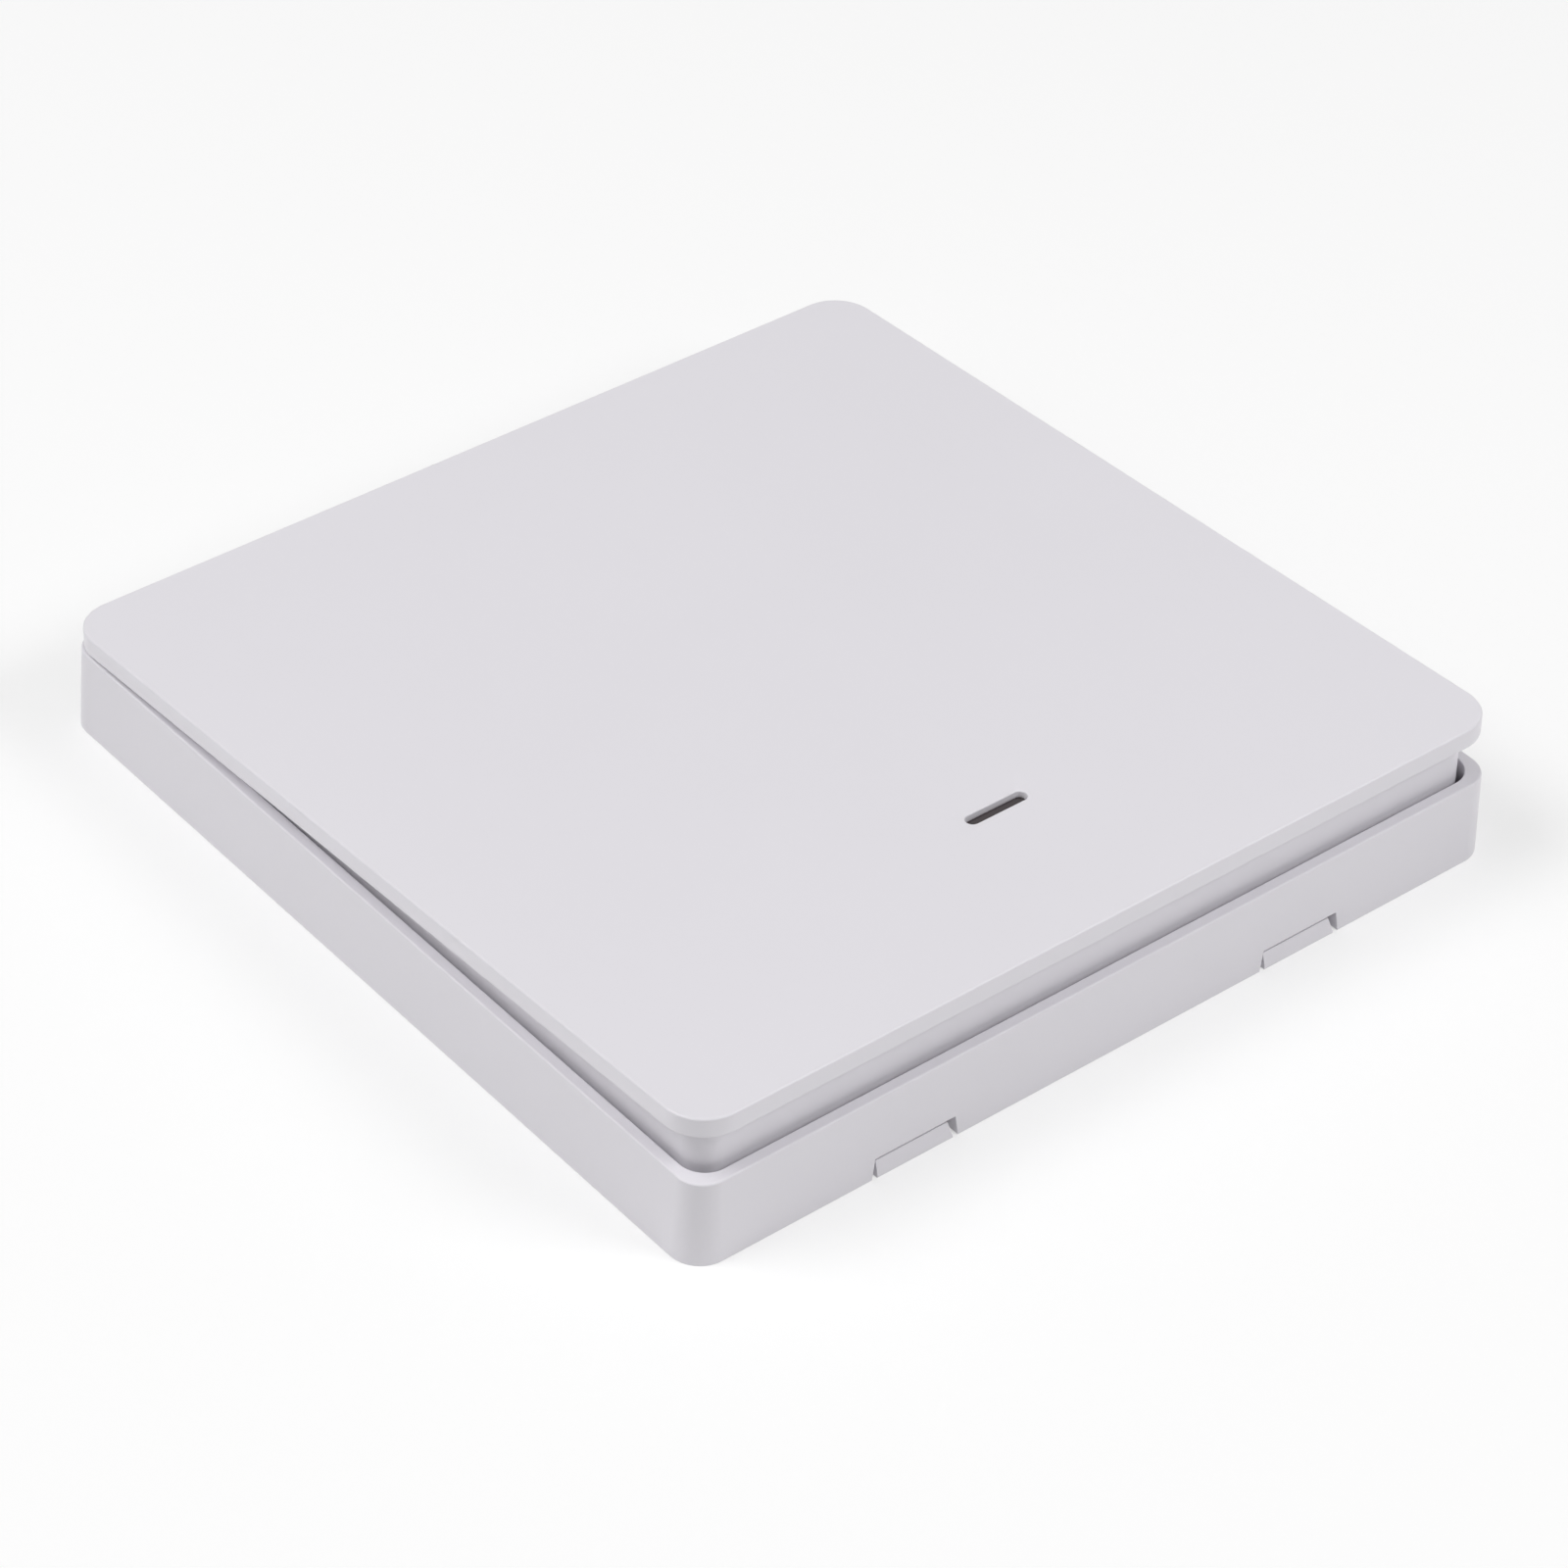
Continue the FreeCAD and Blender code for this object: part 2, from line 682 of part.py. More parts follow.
def make_chassis():
    """Cover over the electronics, open below, with screw cups, wells and stop ledges."""
    body = new_body("chassis")
    outline = new_sketch(body, offset="plate_thickness")
    draw_rounded(outline, "-chassis_half", "chassis_half", "chassis_front", "chassis_back", "chassis_corner")
    pad(outline, "chassis_height - plate_thickness")
    inside = new_sketch(body, offset="plate_thickness")
    draw_rounded(inside, "-chassis_inner_half", "chassis_inner_half", "chassis_front + chassis_wall",
                 "chassis_back - chassis_wall", "chassis_corner - chassis_wall / 2")
    pocket(inside, "chassis_under - plate_thickness", along_normal=True)

    cups = new_sketch(body, offset="boss_top")
    seats = new_sketch(body, offset="chassis_height")
    holes = new_sketch(body, offset="chassis_height")
    for side, row in (("-", "screw_front"), ("", "screw_back")):
        draw_rectangle(cups, side + "screw_x", row, "cup_width", "cup_width")
        draw_circle(seats, side + "screw_x", row, "screw_head + 2 * screw_hole_gap")
        draw_circle(holes, side + "screw_x", row, "screw_shank + 2 * screw_hole_gap")
    pad(cups, "chassis_under - boss_top")
    pocket(seats, "cup_depth")
    pocket(holes, "chassis_height - boss_top")

    ribs = new_sketch(body, offset="board_top")
    for side in ("-", ""):
        draw_rectangle(ribs, side + "(board_width - rib_width) / 2", "cell_y", "rib_width", "rib_length")
    pad(ribs, "chassis_under - board_top")

    openings = new_sketch(body, offset="chassis_height")
    draw_circle(openings, "0", "cell_y", "cell_diameter + 2 * cell_access_room")
    draw_circle(openings, "0", "switch_y", "post_opening")
    draw_slot(openings, "window_offset", "window_y", "window_length", "pipe_width")
    for side in ("-", ""):
        draw_slot(openings, side + "wall_slot_x", "0",
                  "wall_slot_length + head_room", "wall_slot_width + head_room")
        draw_circle(openings, side + "spring_x", "spring_y", "spring_hole")
        draw_rectangle(openings, side + "arm_spacing / 2", "arm_y + (arm_room + stop_gap) / 2",
                       "arm_width + 2 * arm_room", "arm_thickness + 2 * arm_room")
    pocket(openings, "chassis_top")


def make_cap():
    """Square plate with soft edges and the indicator window, the face that is pressed."""
    body = new_body("rocker_cap")
    level = "cap_z - hinge_height"
    outline = new_sketch(body, offset=level)
    draw_rounded(outline, "-cap_half", "cap_half", "-cap_half - hinge_y", "cap_half - hinge_y", "cap_corner")
    plate = pad(outline, "cap_thickness")
    base = number("cap_z") - number("hinge_height")
    top = base + number("cap_thickness")
    soft_top = softened_edges(plate, "Fillet", "Radius", "cap_fillet", lambda point: point.z > top - 1e-4)
    softened_edges(soft_top, "Chamfer", "Size", "cap_foot_chamfer", lambda point: point.z < base + 1e-4)
    window = new_sketch(body, offset=level + " + cap_thickness")
    draw_slot(window, "window_offset", "window_y - hinge_y", "window_length", "window_width")
    pocket(window, "cap_thickness")
    hang_on_hinge(body)


def make_carrier():
    """Tray behind the cap: skirt, hinge lugs and pins, stop arms, switch post and spring pins."""
    body = new_body("rocker_carrier")
    outline = new_sketch(body, offset="cap_z - hinge_height - skirt_depth")
    draw_rounded(outline, "-skirt_half", "skirt_half", "-skirt_half - hinge_y", "skirt_half - hinge_y",
                 "skirt_corner")
    pad(outline, "skirt_depth")
    inside = new_sketch(body, offset="cap_z - hinge_height - skirt_depth")
    draw_rounded(inside, "-skirt_inner_half", "skirt_inner_half", "-skirt_inner_half - hinge_y",
                 "skirt_inner_half - hinge_y", "skirt_corner / 2")
    pocket(inside, "skirt_depth - web_thickness", along_normal=True)

    lug = new_sketch(body, "YZ_Plane", "lug_x")
    draw_circle(lug, "0", "0", "2 * lug_radius")
    lug_pad = pad(lug, "lug_thickness")
    stem = new_sketch(body, "YZ_Plane", "lug_x")
    draw_rectangle(stem, "0", "(web_z - hinge_height) / 2", "2 * lug_radius", "web_z - hinge_height")
    stem_pad = pad(stem, "lug_thickness")
    pin = new_sketch(body, "YZ_Plane", "lug_x + lug_thickness")
    draw_circle(pin, "0", "0", "hinge_pin")
    pin_pad = pad(pin, "lug_gap + clip_length + pin_overrun")
    arm = new_sketch(body, "YZ_Plane", "arm_spacing / 2 - arm_width / 2")
    face = "arm_y - hinge_y - arm_thickness / 2"
    draw_polygon(arm, [
        (face, "web_z - hinge_height"),
        (face, "barb_top - hinge_height"),
        (face + " - barb_reach", "barb_top - hinge_height"),
        (face + " - barb_tip", "barb_top - barb_height - hinge_height"),
        (face + " + arm_thickness", "barb_top - barb_height - hinge_height"),
        (face + " + arm_thickness", "web_z - hinge_height")])
    arm_pad = pad(arm, "arm_width")
    mirrored([lug_pad, stem_pad, pin_pad, arm_pad])

    post = new_sketch(body, offset="post_tip - hinge_height")
    draw_circle(post, "0", "switch_y - hinge_y", "post_diameter")
    pad(post, "web_z - post_tip")
    spring_pins = new_sketch(body, offset="web_z - hinge_height - spring_pin_height")
    for side in ("-", ""):
        draw_circle(spring_pins, side + "spring_x", "spring_y - hinge_y", "spring_pin")
    pad(spring_pins, "spring_pin_height")
    window = new_sketch(body, offset="cap_z - hinge_height")
    draw_slot(window, "window_offset", "window_y - hinge_y", "window_length", "window_width")
    pocket(window, "web_thickness")
    seat = new_sketch(body, offset="cap_z - hinge_height")
    margin = "2 * lens_flange_margin + 2 * lens_fit"
    draw_slot(seat, "window_offset", "window_y - hinge_y", "window_length + " + margin,
              "window_width + " + margin)
    pocket(seat, "lens_flange_thickness")
    hang_on_hinge(body)


def make_lens():
    """Smoked window insert: a flange held between carrier and cap, and a nose in the cap's slot."""
    body = new_body("indicator_lens")
    flange = new_sketch(body, offset="cap_z - hinge_height - lens_flange_thickness")
    draw_slot(flange, "window_offset", "window_y - hinge_y", "window_length + 2 * lens_flange_margin",
              "window_width + 2 * lens_flange_margin")
    pad(flange, "lens_flange_thickness")
    nose = new_sketch(body, offset="cap_z - hinge_height")
    draw_slot(nose, "window_offset", "window_y - hinge_y", "window_length - 2 * lens_fit",
              "window_width - 2 * lens_fit")
    pad(nose, "cap_thickness - lens_sink")
    hang_on_hinge(body)


def make_light_pipe():
    """Clear guide in the chassis that takes the lamp's light up to the window."""
    body = new_body("light_pipe")
    stem = new_sketch(body, offset="board_top + led_height + pipe_air_gap")
    draw_slot(stem, "window_offset", "window_y", "window_length - 2 * lens_fit", "pipe_width - 2 * lens_fit")
    pad(stem, "chassis_height - board_top - led_height - pipe_air_gap")
    flange = new_sketch(body, offset="chassis_height")
    draw_slot(flange, "window_offset", "window_y",
              "window_length + 2 * pipe_flange_margin", "pipe_width + 2 * pipe_flange_margin")
    pad(flange, "pipe_flange_height")


def make_board():
    """Circuit board with a round cut-out for the cell and two locating holes."""
    body = new_body("circuit_board")
    outline = new_sketch(body, offset="board_z")
    draw_rounded(outline, "-board_width / 2", "board_width / 2", "board_front", "board_back", "board_corner")
    pad(outline, "board_thickness")
    holes = new_sketch(body, offset="board_top")
    draw_circle(holes, "0", "cell_y", "cell_cutout")
    for side, row in (("-", "board_pin_front"), ("", "board_pin_back")):
        draw_circle(holes, side + "board_pin_x", row, "board_pin + 2 * board_pin_fit")
    pocket(holes, "board_thickness")


def make_push_switch():
    """Board-mounted push switch: base with a well, sheet cover and plunger."""
    body = new_body("switch_base")
    outline = new_sketch(body, offset="board_top")
    draw_rectangle(outline, "0", "switch_y", "switch_size", "switch_size")
    pad(outline, "switch_base_height")
    well = new_sketch(body, offset="switch_top")
    draw_circle(well, "0", "switch_y", "plunger_flange + 2 * plunger_fit")
    pocket(well, "switch_base_height - switch_floor")

    top = block("cover_sheet", "0", "switch_y", "switch_top", "switch_size", "switch_size",
                "switch_cover_sheet")
    tabs = [block("cover_tab", side + "(switch_size + switch_cover_sheet) / 2", "switch_y", "board_top",
                  "switch_cover_sheet", "cover_tab_width", "switch_base_height + switch_cover_sheet")
            for side in ("-", "")]
    hole = rod("cover_hole", "0", "switch_y", "switch_top - plunger_fit", "plunger_stem + 2 * plunger_fit",
               "switch_cover_sheet + 2 * plunger_fit")
    keep("switch_cover", less("cover", fused("cover_blank", [top] + tabs), hole))

    stem = rod("plunger_rod", "0", "switch_y", "plunger_bottom", "plunger_stem",
               "plunger_top - plunger_bottom")
    flange = rod("plunger_collar", "0", "switch_y", "plunger_bottom", "plunger_flange",
                 "plunger_flange_height")
    keep("switch_plunger", fused("plunger", [stem, flange]))


def make_battery():
    """Coin cell, the strap over it and the sprung contact under it."""
    keep("coin_cell", rod("cell", "0", "cell_y", "cell_z", "cell_diameter", "cell_thickness"))

    body = new_body("cell_clip")
    profile = new_sketch(body, "XZ_Plane", "-cell_y - clip_strap_width / 2")
    top = "strap_z + contact_sheet"
    outer = "strap_half + contact_sheet"
    foot = "strap_half + clip_foot_room + contact_sheet"
    draw_polygon(profile, [
        ("-(%s)" % foot, "board_top"), ("-strap_half", "board_top"), ("-strap_half", "strap_z"),
        ("strap_half", "strap_z"), ("strap_half", "board_top"), (foot, "board_top"),
        (foot, "board_top + contact_sheet"), (outer, "board_top + contact_sheet"), (outer, top),
        ("-(%s)" % outer, top), ("-(%s)" % outer, "board_top + contact_sheet"),
        ("-(%s)" % foot, "board_top + contact_sheet")])
    pad(profile, "clip_strap_width")

    reach = "cell_cutout / 2 + clip_foot_room"
    strip = block("contact_strip", "(contact_run - (%s)) / 2" % reach, "cell_y", "plate_thickness",
                  reach + " + contact_run", "contact_width", "contact_sheet")
    riser = block("contact_riser", "contact_sheet / 2 - (%s)" % reach, "cell_y", "plate_thickness",
                  "contact_sheet", "contact_width", "board_standoff")
    dimple = rod("contact_dimple", "0", "cell_y", "plate_thickness + contact_sheet", "contact_bump",
                 "contact_lift")
    keep("cell_contact", fused("contact", [strip, riser, dimple]))


def make_board_parts():
    """Lamp, transmitter chip, crystal, chip capacitors and resistors, and the wire loop antenna."""
    lamp = block("led_base", "window_offset", "window_y", "board_top", "led_length", "led_width",
                 "led_height / 2")
    dome = block("led_top", "window_offset", "window_y", "board_top + led_height / 2", "led_dome_length",
                 "led_width", "led_height / 2")
    keep("indicator_led", fused("led", [lamp, dome]))

    package = block("chip_package", "-chip_offset", "chip_y", "board_top + lead_height / 2", "chip_length",
                    "chip_width", "chip_height")
    leads = []
    for index in range(4):
        along = "-chip_offset + lead_pitch * %.1f" % (index - 1.5)
        leads.append(block("chip_lead", along, "chip_y", "board_top", "lead_width",
                           "chip_width + 2 * lead_reach", "lead_height"))
    keep("transmitter_chip", fused("chip", [package] + leads))

    body = new_body("crystal_can")
    outline = new_sketch(body, offset="board_top")
    draw_rounded(outline, "crystal_offset - crystal_length / 2", "crystal_offset + crystal_length / 2",
                 "chip_y - crystal_width / 2", "chip_y + crystal_width / 2", "crystal_corner")
    pad(outline, "crystal_height")

    capacitors = []
    resistors = []
    for index in range(5):
        along = "chip_part_pitch * %d" % (index - 2)
        capacitors.append(block("capacitor", "capacitor_offset + " + along, "chip_y", "board_top",
                                "chip_part_width", "chip_part_length", "capacitor_height"))
        resistors.append(block("resistor", along, "switch_y - switch_size / 2 - resistor_ahead / 2",
                               "board_top", "chip_part_width", "chip_part_length", "resistor_height"))
    keep("chip_capacitors", grouped("capacitors", capacitors))
    keep("chip_resistors", grouped("resistors", resistors))
    make_antenna()


def drawn_wire(label, points, diameter):
    """Wire carried along a run of chords, with a six-sided section square to its first one."""
    along = points[1] - points[0]
    across = along.cross(FreeCAD.Vector(1, 0, 0)).normalize()
    spoke = across * (diameter / 2)
    corners = [points[0] + FreeCAD.Rotation(along, 60 * index).multVec(spoke) for index in range(7)]
    wire = document.addObject("Part::Feature", label)
    wire.Shape = Part.makePolygon(points).makePipeShell([Part.makePolygon(corners)], True, False, 1)
    return wire


def bent_points(corners, radius, chords):
    """Ends of straight runs whose corners are bent to a radius, each bend in equal chords."""
    points = [corners[0]]
    for before, corner, after in zip(corners, corners[1:], corners[2:]):
        towards = (before - corner).normalize()
        onwards = (after - corner).normalize()
        half = towards.getAngle(onwards) / 2
        centre = corner + (towards + onwards).normalize() * (radius / math.sin(half))
        spoke = corner + towards * (radius / math.tan(half)) - centre
        axis = onwards.cross(towards)
        turn = 180 - math.degrees(2 * half)
        for step in range(chords + 1):
            points.append(centre + FreeCAD.Rotation(axis, turn * step / chords).multVec(spoke))
    return points + [corners[-1]]


def make_antenna():
    """Loop of plain wire that stands on the board round its front end."""
    half = number("board_width") / 2 - number("antenna_inset")
    front = number("board_front") + number("antenna_inset")
    back = front + number("antenna_length")
    low = number("board_top")
    high = low + number("antenna_height")
    corners = [FreeCAD.Vector(*point) for point in (
        (-half, back, low), (-half, back, high), (-half, front, high),
        (half, front, high), (half, back, high), (half, back, low))]
    points = bent_points(corners, number("antenna_bend"), int(number("chords_per_bend")))
    keep("loop_antenna", drawn_wire("antenna", points, number("antenna_wire")))


def make_spring(label, side):
    """Compression spring: wire drawn as a run of short chords round the coil."""
    wire = number("wire_diameter")
    radius = number("spring_diameter") / 2 - wire / 2
    seat = number("hinge_y") - number("spring_y") - number("spring_diameter") / 2
    tilt = math.radians(number("rest_tilt"))
    under_web = (number("web_z") - number("hinge_height")) * math.cos(tilt)
    top = number("hinge_height") + under_web + seat * math.sin(tilt) - number("seat_gap")
    bottom = number("plate_thickness") + wire / 2
    height = top - wire / 2 - bottom
    turns = number("spring_turns")
    count = int(round(turns * number("chords_per_turn")))
    points = []
    for index in range(count + 1):
        share = index / count
        angle = 2 * math.pi * turns * share
        level = bottom + height * share
        points.append(FreeCAD.Vector(radius * math.cos(angle), radius * math.sin(angle), level))
    spring = drawn_wire(label, points, wire)
    spring.Placement = FreeCAD.Placement(
        FreeCAD.Vector(side * number("spring_x"), number("spring_y"), 0), FreeCAD.Rotation())
    keep(label, spring)


def make_screws():
    """Self-tapping screws with flat heads and a cross recess, at two opposite corners of the chassis."""
    screws = []
    for side, y in (("-", "screw_front"), ("", "screw_back")):
        x = side + "screw_x"
        head = rod("screw_head_disc", x, y, "screw_seat", "screw_head", "screw_head_height")
        shank = rod("screw_rod", x, y, "screw_seat - screw_length", "screw_shank", "screw_length")
        recess_z = "screw_seat + screw_head_height - screw_recess_depth"
        across = block("recess_across", x, y, recess_z, "screw_recess_length", "screw_recess_width",
                       "2 * screw_recess_depth")
        along = block("recess_along", x, y, recess_z, "screw_recess_width", "screw_recess_length",
                      "2 * screw_recess_depth")
        recess = fused("recess", [across, along])
        screws.append(less("screw", fused("screw_blank", [head, shank]), recess))
    keep("chassis_screws", grouped("screws", screws))


def make_landing_pads():
    """Two soft discs on the chassis that the pressed rocker lands on."""
    discs = [rod("landing_disc", side + "landing_x", "arm_y", "chassis_height", "landing_pad",
                 "web_z - chassis_height - landing_gap") for side in ("-", "")]
    keep("landing_pads", grouped("pads", discs))


def check_and_write():
    """Every object recomputed, every shape whole, every cut has taken material; then one file a piece."""
    document.recompute()
    failed = [item.Label for item in document.Objects if {"Invalid", "Error"} & set(item.State)]
    for item in document.Objects:
        if item.TypeId == "PartDesign::Pocket" and item.Shape.Volume > item.BaseFeature.Shape.Volume - 1e-6:
            failed.append(item.Label)
    for label, item in subparts.items():
        if item.Shape.isNull() or not item.Shape.isValid() or not item.Shape.Solids:
            failed.append(label)
    if failed:
        raise RuntimeError("not built: " + ", ".join(failed))
    os.makedirs("parts", exist_ok=True)
    for label, item in subparts.items():
        item.Shape.exportStep("parts/%s.step" % label)


fill_sheet()
make_surround()
make_back_plate()
make_chassis()
make_cap()
make_carrier()
make_lens()
make_light_pipe()
make_board()
make_push_switch()
make_battery()
make_board_parts()
make_spring("return_spring_left", -1)
make_spring("return_spring_right", 1)
make_screws()
make_landing_pads()
check_and_write()
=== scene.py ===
import bpy
import bmesh
import json
import math
import numpy as np
from mathutils import Matrix, Vector


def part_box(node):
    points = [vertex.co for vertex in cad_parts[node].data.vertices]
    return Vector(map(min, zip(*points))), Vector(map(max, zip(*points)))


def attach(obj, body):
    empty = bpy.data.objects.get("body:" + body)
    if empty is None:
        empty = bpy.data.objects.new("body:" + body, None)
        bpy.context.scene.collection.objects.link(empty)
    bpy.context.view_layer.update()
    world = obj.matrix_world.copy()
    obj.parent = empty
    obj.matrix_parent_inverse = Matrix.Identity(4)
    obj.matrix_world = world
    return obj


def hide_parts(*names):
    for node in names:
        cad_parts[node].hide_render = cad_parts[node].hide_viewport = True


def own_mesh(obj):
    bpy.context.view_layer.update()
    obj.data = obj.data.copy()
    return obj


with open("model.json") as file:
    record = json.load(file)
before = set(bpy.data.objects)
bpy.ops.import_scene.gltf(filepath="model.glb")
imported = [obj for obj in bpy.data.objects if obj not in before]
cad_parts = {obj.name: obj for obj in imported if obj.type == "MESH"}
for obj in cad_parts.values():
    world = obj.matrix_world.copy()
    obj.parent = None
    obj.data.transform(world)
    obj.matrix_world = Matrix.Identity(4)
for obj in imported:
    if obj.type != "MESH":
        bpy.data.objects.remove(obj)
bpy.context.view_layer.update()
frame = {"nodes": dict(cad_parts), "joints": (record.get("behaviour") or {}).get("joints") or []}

MM = 0.001


def box_mm(node):
    """Low and high corners of a solid's box, in millimetres."""
    low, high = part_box(node)
    return np.array(low) / MM, np.array(high) / MM


# Sizes in millimetres, nearly all of them the solids' own. The surround's draft is how far its wall leans in
# at the top, a bead's root is how deep it starts inside the wall, the cap's seam is its gap over the
# surround when pressed, and the skirt's inset is measured from the cap's side
surround_high = box_mm("surround_frame")[1]
cap_high = box_mm("rocker_cap")[1]
hinge = next(joint for joint in frame["joints"] if joint["name"] == "rocker_hinge")
HINGE = {"y": hinge["pos_m"][1] / MM, "z": hinge["pos_m"][2] / MM, "tilt": hinge["range_deg"][1]}
SURROUND = {"half": surround_high[0], "height": surround_high[2], "draft": 0.4, "corner": 2.9,
            "rim_width": 1.05, "rim_fillet": 0.2, "inner_soft": 0.1, "cavity_corner": 2.4, "edge": 0.07}
SURROUND["cavity_half"] = SURROUND["half"] - SURROUND["draft"] - SURROUND["rim_width"]
NOTCH = {"middle": 20.75, "width": 8.2, "flare": 0.3, "height": 2.0}
BEAD = {"middle": 30.0, "length": 7.0, "low": 1.9, "height": 0.9, "depth": 0.45, "root": 0.5}
CAP = {"half": cap_high[0], "seam": 0.5, "thickness": 1.9, "corner": 3.8, "fillet": 0.2, "foot": 0.2}
CAP["low"] = SURROUND["height"] + CAP["seam"]
WINDOW = {"x": 1.4, "from_front": 16.4, "half_length": 3.15, "half_width": 0.625, "soft": 0.12}
WINDOW["y"] = WINDOW["from_front"] - CAP["half"]
LENS = {"margin": 1.1, "flange": 0.6, "fit": 0.05, "sink": 0.65}
SKIRT = {"inset": 2.0, "corner": 1.9}
SKIRT["half"] = CAP["half"] - SKIRT["inset"]

# Sizes of the finish alone, in millimetres: the lens's top rises by a crown, whose power keeps its middle
# flat; the skirt's faces are moved out, and are found within a tolerance; a spring's rise is slowed at both
# ends by a share of its height; softened copies get a small bevel, and near points become one
LENS_CROWN = 0.23
CROWN_POWER = 8
SKIRT_OUT = 0.4
SKIRT_TOLERANCE = 0.02
SPRING = {"wire": 0.175, "turns": 6.5, "rings": 240, "sides": 10, "closed_ends": 0.11}
SOFT_EDGE = 0.06
SAME_POINT = 0.002

# Steps of the rounded edges, and the angles in degrees that make an edge and that still count as flat
STEPS = {"corner": 14, "rim": 6, "inner_edge": 3, "cap_foot": 4, "cap_fillet": 6, "slot_edge": 4,
         "bevel": 3}
EDGE_ANGLE = 35.0
FLAT_ANGLE = 0.5


def stations(front_marks=()):
    """Places round a rounded square, counter-clockwise from +X, as rows of an array.

    The rows are the corner's side in x and y, the cosine and sine of the direction from the corner's own
    centre, and a shift along the front run for the marks between its two corners."""
    angle = (np.arange(4)[:, None] + np.linspace(0, 1, STEPS["corner"] + 1)) * math.pi / 2
    side_x = np.array([1, -1, -1, 1])[:, None] + 0 * angle
    side_y = np.array([1, 1, -1, -1])[:, None] + 0 * angle
    corners = np.stack([side_x, side_y, np.cos(angle), np.sin(angle), 0 * angle], axis=-1)
    marks = np.array([0, -1, 0, -1, 0]) + np.outer(front_marks, [0, 0, 0, 0, 1])
    return np.concatenate([corners[:3].reshape(-1, 5), marks.reshape(-1, 5), corners[3]]).T


def carried_round(places, half_x, half_y, radius):
    """Plan of a profile carried round a rounded square: x = side * (half - radius) + radius * cosine +
    along, and y = side * (half - radius) + radius * sine.

    Each size is a column with a row for each point of the profile, or has one value for each place."""
    side_x, side_y, cosine, sine, along = places
    return (side_x * (half_x - radius) + radius * cosine + along,
            side_y * (half_y - radius) + radius * sine)


def arc(steps, first, last):
    """Cosines and sines of the steps between two angles in degrees."""
    angles = np.radians(np.linspace(first, last, steps + 1))
    return np.cos(angles), np.sin(angles)


def profile_rows(*values):
    """Values side by side, with a row for each point of a profile; a single number fills its column."""
    return np.stack(np.broadcast_arrays(*(np.atleast_1d(value) for value in values)), axis=-1)


def grid_faces(rows, places, wrap_rows):
    """Quads of a grid whose places always join up, and whose rows join up where asked."""
    numbers = np.arange(rows * places).reshape(rows, places)
    upper = np.roll(numbers, -1, axis=0)
    if not wrap_rows:
        numbers, upper = numbers[:-1], upper[:-1]
    quads = np.stack([numbers, np.roll(numbers, -1, 1), np.roll(upper, -1, 1), upper], axis=-1)
    return quads.reshape(-1, 4).tolist()


def tilted(points, degrees=HINGE["tilt"]):
    """The rocker's points in millimetres, turned about the hinge: y becomes y * cosine + z * sine, and z
    becomes z * cosine - y * sine, measured from the hinge. Points drawn level come to the raised rest."""
    turn = math.radians(degrees)
    y = points[..., 1] - HINGE["y"]
    z = points[..., 2] - HINGE["z"]
    return np.stack([points[..., 0], HINGE["y"] + y * math.cos(turn) + z * math.sin(turn),
                     HINGE["z"] - y * math.sin(turn) + z * math.cos(turn)], axis=-1)


def piece(name, points, faces, body, material, replaced, bevel=0.0):
    """A piece of the part from points in millimetres and faces."""
    mesh = bpy.data.meshes.new(name)
    mesh.from_pydata((points.reshape(-1, 3) * MM).tolist(), [], faces)
    return finished(name, mesh, body, material, replaced, bevel)


def finished(name, mesh, body, material, replaced, bevel):
    """A mesh made a piece: doubled points merged, hard edges rounded by a bevel in millimetres, flat faces
    kept evenly lit, and the object put on its body."""
    work = bmesh.new()
    work.from_mesh(mesh)
    bmesh.ops.remove_doubles(work, verts=work.verts, dist=SAME_POINT * MM)
    bmesh.ops.recalc_face_normals(work, faces=work.faces)
    limit = math.radians(EDGE_ANGLE)
    if bevel:
        hard = [edge for edge in work.edges
                if len(edge.link_faces) == 2 and edge.calc_face_angle(0) > limit]
        bmesh.ops.bevel(work, geom=hard, offset=bevel * MM, segments=STEPS["bevel"], profile=0.5,
                        affect="EDGES", clamp_overlap=True)
    work.to_mesh(mesh)
    work.free()
    mesh.polygons.foreach_set("use_smooth", [True] * len(mesh.polygons))
    mesh.set_sharp_from_angle(angle=limit)
    mesh.materials.append(material)
    obj = bpy.data.objects.new(name, mesh)
    bpy.context.scene.collection.objects.link(obj)
    even = obj.modifiers.new("even_normals", "WEIGHTED_NORMAL")
    even.keep_sharp = True
    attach(obj, body)
    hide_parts(*replaced)
    return obj


def widened_skirt(points):
    """The rocker's points with the skirt's outer faces moved out: a point p that lies the corner's radius
    away from the square of the corners' centres, at its nearest point q, goes to
    q + (p - q) * (1 + out / radius)."""
    level = tilted(points, -HINGE["tilt"])
    centres = SKIRT["half"] - SKIRT["corner"]
    plan = level[:, :2]
    nearest = np.clip(plan, -centres, centres)
    away = np.linalg.norm(plan - nearest, axis=1, keepdims=True)
    on_skirt = np.abs(away - SKIRT["corner"]) < SKIRT_TOLERANCE
    moved = np.where(on_skirt, nearest + (plan - nearest) * (1 + SKIRT_OUT / SKIRT["corner"]), plan)
    return tilted(np.column_stack([moved, level[:, 2]]))


